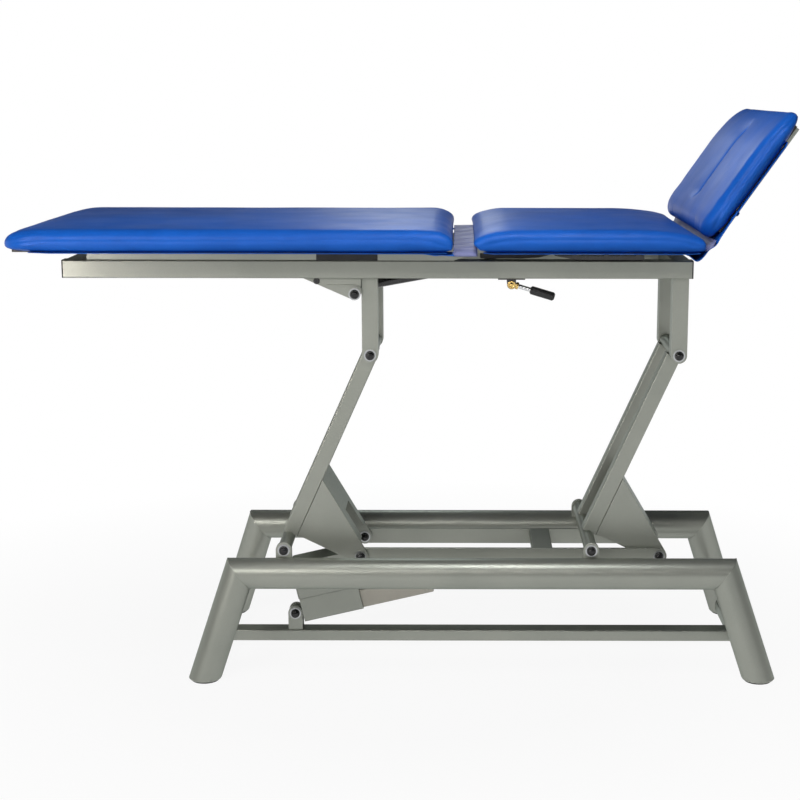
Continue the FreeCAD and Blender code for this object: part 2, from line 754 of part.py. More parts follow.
def make_link_pins(brace_x):
    """Bolts at the four link pivots, their caps, and the actuator's front pin."""
    pins = []
    caps = []
    half_bar_width = d.bar_thickness / 2
    grip = d.plate_thickness + d.side_gap + d.bar_thickness + d.eye_gap
    for y in (-bar_y, bar_y):
        left_face = y - half_bar_width - d.side_gap - d.plate_thickness - d.eye_gap
        right_face = y - half_bar_width
        for x, face in ((link_x, left_face), (link_x + d.pivot_span, right_face)):
            pins.append(headed_pin("link_pin", pin_radius, grip, x, face, link_z, -1, d.cap_diameter / 2))
            caps.append(dome_cap("link_cap", x, face, link_z, -1))
    width = d.clevis_gap + d.cheek_thickness * 2
    pins.append(across("clevis_pin", d.actuator_pin_diameter / 2, width, brace_x, link_z - d.clevis_drop))
    group("link_pins", pins)
    group("link_pin_caps", caps)


def arctangent(rise, run):
    """The angle of a slope, in degrees."""
    slope = rise / run
    return Size(math.degrees(math.atan(slope)), f"(atan({slope.text}) / 1 deg)")


def distance(rise, run):
    return Size(math.hypot(rise, run), f"sqrt({(rise * rise + run * run).text})")


def lengthwise(name, radius, length, x, y=0, z=0):
    """A round bar along the couch."""
    return place(cylinder(name, radius, length), x, y, z, ALONG_X)


def box_at(name, length, width, height, x, y, z):
    """A block from its lowest corner."""
    return place(block(name, length, width, height), x, y, z)


def eye(name, radius, hole, width):
    """A bored eye across the couch about its own origin, with a block of its width behind it."""
    body = plate(name, [(0, 0, radius), (radius * 2, -radius / 2), (radius * 2, radius / 2)], -width / 2, width,
                 holes=[(0, 0, hole)])
    return body


def make_actuator():
    """Motor housing on its gearbox, outer tube and push rod, aligned between the two pins."""
    rear_x = d.left_pivot_x + d.actuator_left
    front_x = link_x + d.brace_reach
    rise = link_z - d.clevis_drop - d.actuator_pin_height
    run = front_x - rear_x
    angle = arctangent(rise, run)
    span = distance(rise, run)
    width = d.clevis_gap - d.eye_gap * 2
    hole = d.actuator_pin_diameter / 2 + d.pin_fit
    rear_eye = eye("rear_eye", d.clevis_radius, hole, width)
    height = d.gearbox_rise + d.gearbox_drop
    gearbox = padded("gearbox", [rounded(d.gearbox_side, height, d.motor_round)], d.gearbox_length)
    place(gearbox, d.gearbox_start, 0, height / 2 - d.gearbox_drop, SECTION_X)
    motor = padded("motor", [rounded(d.motor_width, d.motor_depth, d.motor_round)],
                   d.motor_height - d.gearbox_rise)
    place(motor, d.motor_start + d.motor_width / 2, 0, d.gearbox_rise)
    tube_start = d.gearbox_start + d.gearbox_length - d.rod_overlap
    side = [rounded(d.outer_tube_side, d.outer_tube_side, d.section_round)]
    socket = place(padded("tube_socket", side, d.gearbox_length), tube_start, 0, 0, SECTION_X)
    housing = cut("actuator_housing", fuse("housing_shell", rear_eye, gearbox, motor), socket)
    node(tilted(housing, rear_x, d.actuator_pin_height, angle), "actuator_housing")
    length = d.outer_tube_end - tube_start
    outer = place(padded("outer_tube", side, length), tube_start, 0, 0, SECTION_X)
    inner = lengthwise("outer_tube_bore", d.outer_tube_bore / 2, length, tube_start)
    tube = cut("actuator_tube", outer, inner)
    node(tilted(tube, rear_x, d.actuator_pin_height, angle), "actuator_tube")
    rod_length = span - d.outer_tube_end + d.rod_overlap
    rod = lengthwise("push_rod", d.rod_diameter / 2, rod_length - d.clevis_radius, -rod_length)
    front_eye = across("front_eye", d.clevis_radius, width, 0, 0)
    pin = across("front_eye_hole", hole, width, 0, 0)
    rod = cut("actuator_rod", fuse("rod_and_eye", rod, front_eye), pin)
    node(tilted(rod, front_x, link_z - d.clevis_drop, angle), "actuator_rod")


def make_post(name, x, y_low):
    """A post with a rounded foot about its pivot, hollow above it."""
    half = d.post_side / 2
    post = plate(name, [(0, 0, half), (half, d.post_rise), (-half, d.post_rise)], y_low, d.post_side,
                 (x, upper_z), [(0, 0, pin_radius)])
    side = d.post_side - d.section_wall * 2
    hollow = box_at(name + "_hollow", side, side, d.post_rise, x - side / 2, y_low + d.section_wall,
                    upper_z + half)
    return cut(name, post, hollow)


def make_top_frame():
    """Two rails, the members between them and the four posts."""
    left_end = upper_left_x - d.frame_left
    length = upper_right_x + d.frame_right - left_end
    middle = frame_bottom + d.frame_tube / 2
    plugs = []
    for y, word in ((-frame_y, "front"), (frame_y, "rear")):
        rail = section(f"top_rail_{word}", d.frame_tube, d.frame_tube, length - d.plug_thickness * 2)
        node(place(rail, left_end + d.plug_thickness, y, middle, SECTION_X), f"top_rail_{word}")
        for x in (left_end, left_end + length - d.plug_thickness):
            plug = padded("rail_plug", [rounded(d.frame_tube, d.frame_tube, d.section_round)], d.plug_thickness)
            plugs.append(place(plug, x, y, middle, SECTION_X))
    group("rail_end_plugs", plugs)
    inside = frame_inner * 2
    members = []
    for x in (left_end + d.plug_thickness + d.frame_tube / 2, upper_left_x, upper_right_x):
        members.append(section_across("top_member", d.frame_tube, d.frame_tube, inside, x, middle))
    group("top_cross_members", members)
    for x, hand in ((upper_left_x, "left"), (upper_right_x, "right")):
        posts = [make_post(f"post_{hand}_front", x, -post_outer), make_post(f"post_{hand}_rear", x, d.post_inner)]
        group(f"{hand}_posts", posts)


def make_frame_pins():
    """Pins of the upper pivots, the middle section's hinge and the gas spring, with the caps."""
    pins = []
    caps = []
    length = d.post_side + d.end_gap + d.bush_length
    for x in (upper_left_x, upper_right_x):
        for side in (-1, 1):
            pins.append(headed_pin("upper_pin", pin_radius, length, x, side * post_outer, upper_z, side))
            caps.append(dome_cap("upper_cap", x, side * post_outer, upper_z, side))
    reach = d.arm_plate + d.bar_side_gap + d.mid_bar_width
    for y_low in (-frame_outer, frame_outer - reach):
        pin = cylinder("hinge_pin", d.hinge_pin_diameter / 2, reach)
        pins.append(place(pin, d.mid_hinge_x, y_low, hinge_z, ALONG_Y))
    face = -frame_y - d.bracket_plate / 2
    nose_x = upper_left_x - d.bracket_nose_left
    nose_z = frame_bottom - d.bracket_nose_drop
    reach = d.frame_spacing + d.bracket_plate
    pins.append(headed_pin("spring_axle", d.spring_pin_diameter / 2, reach, nose_x, face, nose_z, -1,
                           d.bracket_nose_radius))
    caps.append(dome_cap("spring_cap", nose_x, face, nose_z, -1))
    group("frame_pins", pins)
    group("frame_pin_caps", caps)


def make_brackets():
    """Gas-spring brackets under the rails, and the release lever's bracket."""
    top = (-d.bracket_end, 0)
    nose = (-d.bracket_nose_left, -d.bracket_nose_drop, d.bracket_nose_radius)
    corners = [top, nose, (-d.post_side / 2, 0)]
    axle = (-d.bracket_nose_left, -d.bracket_nose_drop, d.spring_pin_diameter / 2)
    pieces = []
    for y_low in (-frame_y - d.bracket_plate / 2, frame_y - d.bracket_plate / 2):
        pieces.append(plate("spring_bracket", corners, y_low, d.bracket_plate, (upper_left_x, frame_bottom),
                            [axle]))
    group("spring_brackets", pieces)
    front = -frame_y - d.hub_length / 2
    hub_z = frame_bottom - d.lever_drop
    base = box_at("lever_base", d.lever_plate_width, d.hub_length + d.lever_cheek * 2, d.lever_plate,
                  d.lever_x - d.lever_plate_width / 2, front - d.lever_cheek, frame_bottom - d.lever_plate)
    cheeks = []
    half = d.hub_pin_diameter
    for y_low in (front - d.lever_cheek, front + d.hub_length):
        cheeks.append(plate("lever_cheek", [(0, 0, half), (half, d.lever_drop - d.lever_plate),
                                            (-half, d.lever_drop - d.lever_plate)],
                            y_low, d.lever_cheek, (d.lever_x, hub_z), [(0, 0, d.hub_pin_diameter / 2)]))
    pin = place(cylinder("hub_pin", d.hub_pin_diameter / 2, d.hub_length + d.lever_cheek * 2),
                d.lever_x, front - d.lever_cheek, hub_z, ALONG_Y)
    node(fuse("lever_bracket_piece", base, *cheeks, pin), "lever_bracket")


def make_lever():
    """Hub, bright rod, brass ring and grip of the release lever."""
    hub_z = frame_bottom - d.lever_drop
    width = d.hub_length - d.eye_gap * 2
    hub = across("lever_hub", d.hub_diameter / 2, width, 0, 0)
    hole = across("lever_hub_hole", d.hub_pin_diameter / 2 + d.pin_fit, width, 0, 0)
    rod_radius = d.lever_rod_diameter / 2
    start = d.hub_pin_diameter / 2 + d.pin_fit
    rod = lengthwise("lever_rod", rod_radius, d.lever_rod_length + d.lever_rod_bite - start, start)
    arm = cut("lever_arm", fuse("lever_arm_piece", hub, rod), hole)
    ring = cut("lever_ring", lengthwise("ring_outer", d.ring_diameter / 2, d.ring_length, d.hub_diameter / 2),
               lengthwise("ring_hole", rod_radius, d.ring_length, d.hub_diameter / 2))
    radius = d.grip_diameter / 2
    profile = [(rod_radius, 0), (radius - d.grip_bevel, 0), (radius, d.grip_bevel),
               (radius, d.grip_length - d.grip_bevel), (radius - d.grip_bevel, d.grip_length),
               (0, d.grip_length), (0, d.lever_rod_bite), (rod_radius, d.lever_rod_bite)]
    grip = turned("lever_grip_turned", profile)
    place(grip, d.lever_rod_length, 0, 0, FreeCAD.Rotation(FreeCAD.Vector(0, 0, 1), -90))
    for item, label in ((arm, "lever_arm"), (ring, "lever_ring"), (grip, "lever_grip")):
        whole = doc.addObject("Part::Compound", label + "_hung")
        whole.Links = [item]
        tilted(whole, d.lever_x, hub_z, -d.lever_angle)
        whole.Placement.Base.y = -float(frame_y)
        bind(whole, "Placement.Base.y", -frame_y)
        node(whole, label)


def make_long_section():
    """Fixed frame, hinge arms, joint covers and board of the long section."""
    height = board_z - frame_top
    start = d.long_frame_start - d.long_start
    stop = d.mid_hinge_x - d.long_frame_stop
    middle = frame_top + height / 2
    y = frame_outer - d.long_frame_width / 2
    pieces = []
    for side in (-1, 1):
        tube = section("long_frame_tube", d.long_frame_width, height, stop - start)
        pieces.append(place(tube, start, side * y, middle, SECTION_X))
    for x in (start + d.long_frame_width / 2, stop - d.long_frame_width / 2):
        pieces.append(section_across("long_frame_cross", d.long_frame_width, height,
                                     (y - d.long_frame_width / 2) * 2, x, middle))
    group("long_frame", pieces)
    left = stop - d.mid_hinge_x
    low = -d.section_rise
    corners = [(left, low), (-d.arm_taper, low), (0, 0, half_bar), (left, half_bar)]
    arms = []
    covers = []
    for side in (-1, 1):
        y_low = -frame_outer if side < 0 else frame_outer - d.arm_plate
        arms.append(plate("hinge_arm", corners, y_low, d.arm_plate, (d.mid_hinge_x, hinge_z),
                          [(0, 0, d.hinge_pin_diameter / 2)]))
        y_low = -frame_outer - d.cover_proud if side < 0 else frame_outer
        covers.append(box_at("joint_cover", d.cover_length, d.cover_proud, height, stop - d.cover_length, y_low,
                             frame_top))
    group("hinge_arms", arms)
    group("joint_covers", covers)
    start = d.board_margin - d.long_start
    width = (d.half_width - d.board_margin) * 2
    node(box_at("long_board", d.long_stop - d.board_margin - start, width, d.board_thickness, start, -width / 2,
                board_z), "long_board")


def make_mid_section():
    """Bars between the two hinges, cross tubes, gas-spring horns and board of the middle section."""
    span = d.head_hinge_x - d.mid_hinge_x
    outer = frame_outer - d.arm_plate - d.bar_side_gap
    inner = outer - d.mid_bar_width
    hole = d.hinge_pin_diameter / 2
    bars = []
    supports = []
    start = d.support_start
    low = -half_bar - d.support_drop
    for y_low in (-outer, inner):
        bars.append(plate("mid_bar", [(0, 0, half_bar), (span, 0, half_bar)], y_low, d.mid_bar_width,
                          (d.mid_hinge_x, hinge_z), [(0, 0, hole + d.pin_fit), (span, 0, hole)]))
        corners = [(start + d.support_slope, low), (start + d.support_length, low),
                   (start + d.support_length, low + d.support_height), (start, low + d.support_height)]
        strip = plate("support_strip", corners, y_low, d.mid_bar_width, (d.mid_hinge_x, hinge_z))
        feet = []
        for share in SUPPORT_FOOT_SHARES:
            x = d.mid_hinge_x + start + d.support_length * share
            feet.append(box_at("support_foot", d.support_height, d.mid_bar_width, d.support_drop - d.support_height,
                               x, y_low, hinge_z - half_bar - d.support_drop + d.support_height))
        supports.append(fuse("mid_support", strip, *feet))
    group("mid_bars", bars)
    group("mid_support_bars", supports)
    crosses = []
    for x in (d.horn_reach, span - d.horn_reach - d.horn_tube_width):
        crosses.append(section_across("mid_cross", d.horn_tube_width, d.mid_bar_height, inner * 2,
                                      d.mid_hinge_x + x, hinge_z))
    half = d.horn_tube_width / 2
    rise = d.horn_drop - half_bar
    pin_radius_here = d.spring_pin_diameter / 2
    for y_low in (-d.horn_gap / 2 - d.horn_plate, d.horn_gap / 2):
        corners = [(0, 0, d.spring_eye_radius), (half, rise), (-half, rise)]
        crosses.append(plate("spring_horn", corners, y_low, d.horn_plate,
                           (d.mid_hinge_x + d.horn_reach, hinge_z - d.horn_drop), [(0, 0, pin_radius_here)]))
    crosses.append(across("horn_pin", pin_radius_here, d.horn_gap + d.horn_plate * 2, d.mid_hinge_x + d.horn_reach,
                        hinge_z - d.horn_drop))
    group("mid_cross_tubes", crosses)
    pins = []
    reach = d.mid_bar_width + d.head_bar_gap + d.head_bar_width
    for y_low in (-outer, outer - reach):
        pins.append(place(cylinder("head_pin", hole, reach), d.head_hinge_x, y_low, hinge_z, ALONG_Y))
    group("head_hinge_pins", pins)
    width = (d.half_width - d.board_margin) * 2
    length = d.mid_stop - d.mid_start - d.board_margin * 2
    node(box_at("mid_board", length, width, d.board_thickness, d.mid_start + d.board_margin, -width / 2, board_z),
         "mid_board")


def make_head_section():
    """Hinge bars, tube frame and board of the head section, raised about its hinge."""
    outer = frame_outer - d.arm_plate - d.bar_side_gap - d.mid_bar_width - d.head_bar_gap
    inner = outer - d.head_bar_width
    stop = d.head_cross_at - half_bar
    hole = d.hinge_pin_diameter / 2 + d.pin_fit
    bars = []
    for y_low in (-outer, inner):
        bars.append(plate("head_bar", [(0, 0, half_bar), (stop, -half_bar), (stop, half_bar)], y_low,
                          d.head_bar_width, holes=[(0, 0, hole)]))
    cross = section_across("head_cross", d.mid_bar_height, d.mid_bar_height, d.head_tube_spacing - d.mid_bar_height,
                           d.head_cross_at, 0)
    tubes = []
    for side in (-1, 1):
        tube = section("head_tube", d.mid_bar_height, d.mid_bar_height, d.head_tube_length)
        tubes.append(place(tube, stop - d.mid_bar_height, side * d.head_tube_spacing / 2, 0, SECTION_X))
    width = (d.head_half_width - d.board_margin) * 2
    board = box_at("head_board_flat", d.head_length - d.board_margin * 2, width, d.board_thickness,
                   d.head_start + d.board_margin, -width / 2, half_bar)
    for label, items in (("head_frame", [*bars, cross, *tubes]), ("head_board", [board])):
        tilted(group(label, items), d.head_hinge_x, hinge_z, d.head_angle)


def make_gas_spring():
    """Cylinder on the axle in the brackets' noses and rod on the horns, in line with each other."""
    rear_x = upper_left_x - d.bracket_nose_left
    rear_z = frame_bottom - d.bracket_nose_drop
    front_x = d.mid_hinge_x + d.horn_reach
    front_z = hinge_z - d.horn_drop
    rise = front_z - rear_z
    run = front_x - rear_x
    angle = arctangent(rise, run)
    width = d.horn_gap - d.eye_gap * 2
    radius = d.spring_eye_radius
    stop = d.spring_tube_length
    body = fuse("spring_body", across("spring_eye", radius, width, 0, 0),
                lengthwise("spring_tube", d.spring_diameter / 2, stop, 0))
    hole = across("spring_eye_hole", d.spring_pin_diameter / 2 + d.pin_fit, width, 0, 0)
    bore_start = radius * 2
    hollow = lengthwise("spring_hollow", d.spring_bore / 2, stop, bore_start)
    node(tilted(cut("gas_spring_cylinder", body, hole, hollow), rear_x, rear_z, angle), "gas_spring_cylinder")
    length = distance(rise, run) - stop + d.spring_overlap
    rod = fuse("spring_rod_piece", across("rod_eye", radius, width, 0, 0),
               lengthwise("spring_rod", d.spring_rod_diameter / 2, length, -length))
    hole = across("rod_eye_hole", d.spring_pin_diameter / 2 + d.pin_fit, width, 0, 0)
    node(tilted(cut("gas_spring_rod", rod, hole), front_x, front_z, angle), "gas_spring_rod")


# Cushion stations: share of the end roll's length, share of its drop
ROLL_SHARES = ((0, 1), (0.12, 0.62), (0.35, 0.3), (0.65, 0.08), (1, 0))
# Corner stations, as angles of the plan corner's arc
CORNER_DEGREES = (0, 25, 50, 90)


def cushion_section(x, half, height, crown, valley):
    """One closed section across a cushion: flat bottom, bulged sides, crowned top."""
    bottom = half - d.tuck
    edge = half - d.shoulder
    foot = vector(x, bottom, 0)
    rim = vector(x, edge, height)
    bulge = vector(x, half, height * SIDE_BULGE_SHARE)
    left_foot = vector(x, -bottom, 0)
    left_rim = vector(x, -edge, height)
    left_bulge = vector(x, -half, height * SIDE_BULGE_SHARE)
    if valley:
        floor = vector(x, 0, height + crown - valley)
        tops = []
        for start, stop, sign in ((rim, floor, 1), (floor, left_rim, -1)):
            middle = vector(x, sign * edge / 2, height + crown)
            tops.append(Part.Arc(start, middle, stop).toShape())
    else:
        tops = [Part.Arc(rim, vector(x, 0, height + crown), left_rim).toShape()]
    edges = [Part.LineSegment(left_foot, foot).toShape(), Part.Arc(foot, bulge, rim).toShape(), *tops,
             Part.Arc(left_rim, left_bulge, left_foot).toShape()]
    return Part.Wire(edges)


def end_stations(roll, drop, corner, narrow):
    """Stations from one end inwards: (distance, drop, narrowing), joining roll and plan corner."""
    places = {}
    for share, fall in ROLL_SHARES:
        places[share * float(roll)] = None
    if corner:
        for angle in CORNER_DEGREES:
            places[float(corner) * (1 - math.cos(math.radians(angle)))] = None
    stations = []
    for x in sorted(places):
        fall = 0.0
        for (a, fa), (b, fb) in zip(ROLL_SHARES, ROLL_SHARES[1:]):
            if roll and a * roll <= x <= b * roll:
                fall = (fa + (fb - fa) * (x / float(roll) - a) / (b - a)) * float(drop)
        inset = 0.0
        if corner and x < corner:
            ratio = 1 - x / float(corner)
            inset = float(corner) * (1 - math.sqrt(1 - ratio * ratio)) * float(narrow)
        stations.append((x, fall, inset))
    return stations


def cushion(length, half, height, left, right, valley=0):
    """A cushion along X from its own end. An end is (roll, drop, corner, share of the corner)."""
    length = float(length)
    stations = end_stations(*left)
    middle = [(length * share, 0.0, float(d.side_sag) * sag) for share, sag in SAG_SHARES]
    far = [(length - x, fall, inset) for x, fall, inset in reversed(end_stations(*right))]
    start = stations[-1][0]
    stop = far[0][0]
    stations += [station for station in middle if start < station[0] < stop]
    stations += far
    sections = []
    for x, fall, inset in stations:
        sections.append(cushion_section(x, half - inset, height - fall, d.crown, valley))
    return Part.makeLoft(sections, True, True)


def recessed(shape, length, half, start):
    """Leave room under a cushion for its board."""
    board = Part.makeBox(float(length), float(half) * 2, float(d.board_thickness),
                         vector(start, -half, 0))
    return shape.cut(board)


def make_cushions():
    flat = (d.long_right_roll, d.roll_drop, 0, 0)
    foot_end = (d.long_left_roll, d.roll_drop, d.long_corner, 1)
    board_half = d.half_width - d.board_margin
    length = d.long_stop + d.long_start
    shape = cushion(length, d.half_width, d.cushion_height, foot_end, flat)
    shape = recessed(shape, length - d.board_margin * 2, board_half, d.board_margin)
    node(feature("long_cushion_form", shape, -d.long_start, 0, board_z), "long_cushion")
    length = d.mid_stop - d.mid_start
    shape = cushion(length, d.half_width, d.cushion_height, (d.mid_left_roll, d.roll_drop, 0, 0),
                    (d.mid_right_roll, d.roll_drop, 0, 0))
    shape = recessed(shape, length - d.board_margin * 2, board_half, d.board_margin)
    node(feature("mid_cushion_form", shape, d.mid_start, 0, board_z), "mid_cushion")
    low_end = (d.head_low_roll, d.head_low_drop, d.head_corner, 1)
    top_end = (d.head_top_roll, d.roll_drop, d.head_corner, 1)
    shape = cushion(d.head_length, d.head_half_width, d.head_height, low_end, top_end, d.head_valley)
    shape = recessed(shape, d.head_length - d.board_margin * 2, d.head_half_width - d.board_margin, d.board_margin)
    turn = FreeCAD.Rotation(FreeCAD.Vector(0, 1, 0), -float(d.head_angle))
    start = turn.multVec(vector(d.head_start, 0, half_bar))
    node(feature("head_cushion_form", shape, d.head_hinge_x + start.x, 0, hinge_z + start.z, turn), "head_cushion")


def make_gap_covers():
    """Pleated cover between the long and middle cushions, and the round cover at the head hinge."""
    half = d.half_width - d.shoulder
    pitch = half * 2 / d.pleat_count
    under = []
    over = []
    for number in range(int(d.pleat_count)):
        near = float(pitch) * number
        crest = near + float(pitch) / 2
        under += [(near, 0.0), (crest, float(d.pleat_height))]
        over += [(near, float(d.pleat_thickness)), (crest, float(d.pleat_height + d.pleat_thickness))]
    under.append((float(half * 2), 0.0))
    over.append((float(half * 2), float(d.pleat_thickness)))
    points = [vector(0, y, z) for y, z in under + over[::-1]]
    wire = Part.makePolygon(points + points[:1])
    shape = Part.Face(wire).extrude(vector(d.pleat_length, 0, 0))
    node(feature("pleats", shape, d.long_stop + d.cover_gap, -half, board_z + d.cover_gap), "mid_gap_cover")
    low = half_bar - d.cover_gap - d.head_cover_thickness
    reach = (d.head_cover_reach * cosine(d.head_angle), d.head_cover_reach * sine(d.head_angle))
    skew = (d.head_cover_thickness * sine(d.head_angle), d.head_cover_thickness * cosine(d.head_angle))
    knee = d.head_cover_knee + d.head_cover_thickness * tangent(d.head_angle / 2)
    corners = [(-d.head_cover_foot, low), (-d.head_cover_knee, low),
               (reach[0] - d.head_cover_knee, low + reach[1]),
               (reach[0] - d.head_cover_knee - skew[0], low + reach[1] + skew[1]),
               (-knee, low + d.head_cover_thickness), (-d.head_cover_foot, low + d.head_cover_thickness)]
    bar_outer = frame_outer - d.arm_plate - d.bar_side_gap + d.end_gap
    width = d.head_half_width - d.board_margin - bar_outer
    pieces = []
    for y_low in (-bar_outer - width, bar_outer):
        pieces.append(plate("head_cover_side", corners, y_low, width, (d.head_hinge_x, hinge_z)))
    group("head_gap_cover", pieces)


make_base()
make_lugs()
make_base_pins()
make_crank("left", d.left_pivot_x, -crank_shift)
make_crank("right", right_pivot_x, crank_shift)
make_link_frame()
make_actuator()
make_top_frame()
make_frame_pins()
make_brackets()
make_lever()
make_long_section()
make_mid_section()
make_head_section()
make_gas_spring()
make_cushions()
make_gap_covers()
doc.recompute()

for item in doc.Objects:
    if "Invalid" in item.State or "Error" in item.State:
        raise RuntimeError(f"{item.Label} did not compute")
for item in nodes:
    if item.Shape.isNull() or not item.Shape.isValid():
        raise RuntimeError(f"{item.Label} has no valid shape")

os.makedirs("parts", exist_ok=True)
for item in nodes:
    item.Shape.exportStep(f"parts/{item.Label}.step")
print(len(nodes), "sub-parts written")
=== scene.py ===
import math

import bmesh
import bpy
import numpy as np
from mathutils import Matrix, Vector, noise


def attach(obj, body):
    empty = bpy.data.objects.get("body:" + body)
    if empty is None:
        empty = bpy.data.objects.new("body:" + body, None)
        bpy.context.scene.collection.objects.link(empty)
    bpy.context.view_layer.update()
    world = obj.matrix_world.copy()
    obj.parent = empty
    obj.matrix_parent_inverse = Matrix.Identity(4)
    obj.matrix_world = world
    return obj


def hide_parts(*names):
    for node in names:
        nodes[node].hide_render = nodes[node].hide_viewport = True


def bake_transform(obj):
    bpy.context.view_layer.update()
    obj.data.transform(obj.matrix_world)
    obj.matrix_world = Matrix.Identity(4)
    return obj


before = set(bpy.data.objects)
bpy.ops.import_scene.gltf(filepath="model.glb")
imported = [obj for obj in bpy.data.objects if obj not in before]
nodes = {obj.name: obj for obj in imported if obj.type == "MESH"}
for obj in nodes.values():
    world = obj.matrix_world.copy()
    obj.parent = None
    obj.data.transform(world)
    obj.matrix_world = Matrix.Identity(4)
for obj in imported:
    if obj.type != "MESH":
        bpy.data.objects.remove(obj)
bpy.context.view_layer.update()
scene = bpy.context.scene


# Materials

class Looks:
    """Short names for building one node material."""

    def __init__(self, name):
        self.material = bpy.data.materials.new(name)
        self.material.use_nodes = True
        self.tree = self.material.node_tree
        self.shader = self.tree.nodes["Principled BSDF"]
        self.spot = self.add("ShaderNodeTexCoord").outputs["Object"]

    def add(self, kind, **values):
        item = self.tree.nodes.new(kind)
        for key, value in values.items():
            setattr(item, key, value)
        return item

    def join(self, source, target):
        self.tree.links.new(source, target)

    def set(self, **values):
        """Uniform values of the shader, with underscores for the spaces in their names."""
        for key, value in values.items():
            self.shader.inputs[key.replace("_", " ")].default_value = value

    def stretched(self, scale):
        mapping = self.add("ShaderNodeMapping")
        mapping.inputs["Scale"].default_value = scale
        self.join(self.spot, mapping.inputs["Vector"])
        return mapping.outputs["Vector"]

    def noise(self, scale, detail=3.0, roughness=0.5, spot=None):
        item = self.add("ShaderNodeTexNoise")
        item.inputs["Scale"].default_value = scale
        item.inputs["Detail"].default_value = detail
        item.inputs["Roughness"].default_value = roughness
        self.join(spot or self.spot, item.inputs["Vector"])
        return item.outputs["Fac"]

    def cells(self, scale, feature="F1", spot=None):
        item = self.add("ShaderNodeTexVoronoi", feature=feature)
        item.inputs["Scale"].default_value = scale
        self.join(spot or self.spot, item.inputs["Vector"])
        return item.outputs["Distance"]

    def ramp(self, source, *stops):
        """Shades of grey or colour along a value, each stop as (place, colour)."""
        item = self.add("ShaderNodeValToRGB")
        band = item.color_ramp
        while len(band.elements) < len(stops):
            band.elements.new(0.5)
        for element, (place, colour) in zip(band.elements, stops):
            element.position = place
            element.color = (*colour, 1.0)
        self.join(source, item.inputs["Fac"])
        return item.outputs["Color"]

    def span(self, source, low, high, start=0.0, stop=1.0):
        """The value from low to high as the source goes from start to stop."""
        item = self.add("ShaderNodeMapRange")
        for key, value in (("From Min", start), ("From Max", stop), ("To Min", low), ("To Max", high)):
            item.inputs[key].default_value = value
        self.join(source, item.inputs["Value"])
        return item.outputs["Result"]

    def mix(self, factor, first, second, kind="MIX"):
        item = self.add("ShaderNodeMix", data_type="RGBA", blend_type=kind)
        for source, target in ((factor, item.inputs[0]), (first, item.inputs[6]), (second, item.inputs[7])):
            if isinstance(source, bpy.types.NodeSocket):
                self.join(source, target)
            else:
                target.default_value = source if isinstance(source, float) else (*source, 1.0)
        return item.outputs[2]

    def bump(self, height, strength, distance, below=None):
        item = self.add("ShaderNodeBump")
        item.inputs["Strength"].default_value = strength
        item.inputs["Distance"].default_value = distance
        self.join(height, item.inputs["Height"])
        if below is not None:
            self.join(below, item.inputs["Normal"])
        return item.outputs["Normal"]

    def rounded(self, radius):
        """Normals that round the sharp edges, and a mask that is bright on them."""
        soft = self.add("ShaderNodeBevel", samples=4)
        soft.inputs["Radius"].default_value = radius
        true = self.add("ShaderNodeNewGeometry").outputs["Normal"]
        same = self.add("ShaderNodeVectorMath", operation="DOT_PRODUCT")
        self.join(soft.outputs["Normal"], same.inputs[0])
        self.join(true, same.inputs[1])
        return soft.outputs["Normal"], self.span(same.outputs["Value"], 1.0, 0.0, 0.82, 0.995)

    def colour(self, source):
        self.join(source, self.shader.inputs["Base Color"])

    def rough(self, source):
        self.join(source, self.shader.inputs["Roughness"])

    def normal(self, source):
        self.join(source, self.shader.inputs["Normal"])


def metallic_paint(name, dark, light, rough_low=0.32, rough_high=0.44):
    """Silver enamel: fine flakes, cloudy shade, faint orange peel, and a painted highlight that lightens the sharp
    edges.
    """
    look = Looks(name)
    flakes = look.cells(1500)
    cloud = look.noise(7, 4)
    base = look.mix(look.span(cloud, 0.15, 0.85), dark, light)
    speck = look.ramp(flakes, (0.0, (1.25, 1.25, 1.22)), (0.45, (0.92, 0.92, 0.92)), (1.0, (0.8, 0.8, 0.8)))
    toned = look.mix(0.55, base, speck, "MULTIPLY")
    soft, edges = look.rounded(0.0016)
    # Painted highlight: the sharp edges are lightened towards pale silver for the light that they catch.
    edge_highlight = look.span(edges, 0.0, 0.5)
    look.colour(look.mix(edge_highlight, toned, (0.62, 0.63, 0.6)))
    look.rough(look.span(look.noise(240, 2), rough_low, rough_high, 0.3, 0.7))
    look.set(Metallic=0.7, Specular_IOR_Level=0.4, Specular_Tint=(0.42, 0.47, 0.44, 1.0))
    peel = look.bump(look.noise(420, 2), 0.06, 0.0006, soft)
    look.normal(look.bump(flakes, 0.05, 0.0002, peel))
    return look.material


def vinyl(name, dark, light):
    """Upholstery vinyl: pebbled grain, soft mottling, a slight sheen and dust-dulled patches."""
    look = Looks(name)
    grain = look.cells(620, "SMOOTH_F1")
    fine = look.noise(1500, 2)
    cloud = look.noise(3.2, 4, 0.6)
    tone = look.mix(look.span(cloud, 0.0, 1.0, 0.3, 0.7), dark, light)
    pores = look.ramp(grain, (0.0, (1.06, 1.06, 1.06)), (0.75, (0.86, 0.86, 0.88)))
    toned = look.mix(0.6, tone, pores, "MULTIPLY")
    look.colour(toned)
    patch = look.noise(9, 3)
    look.rough(look.span(patch, 0.40, 0.50, 0.3, 0.7))
    look.set(Specular_IOR_Level=0.2)
    soft = look.bump(look.noise(38, 3), 0.08, 0.004)
    pebbles = look.bump(grain, 0.22, 0.0007, soft)
    look.normal(look.bump(fine, 0.08, 0.0003, pebbles))
    return look.material


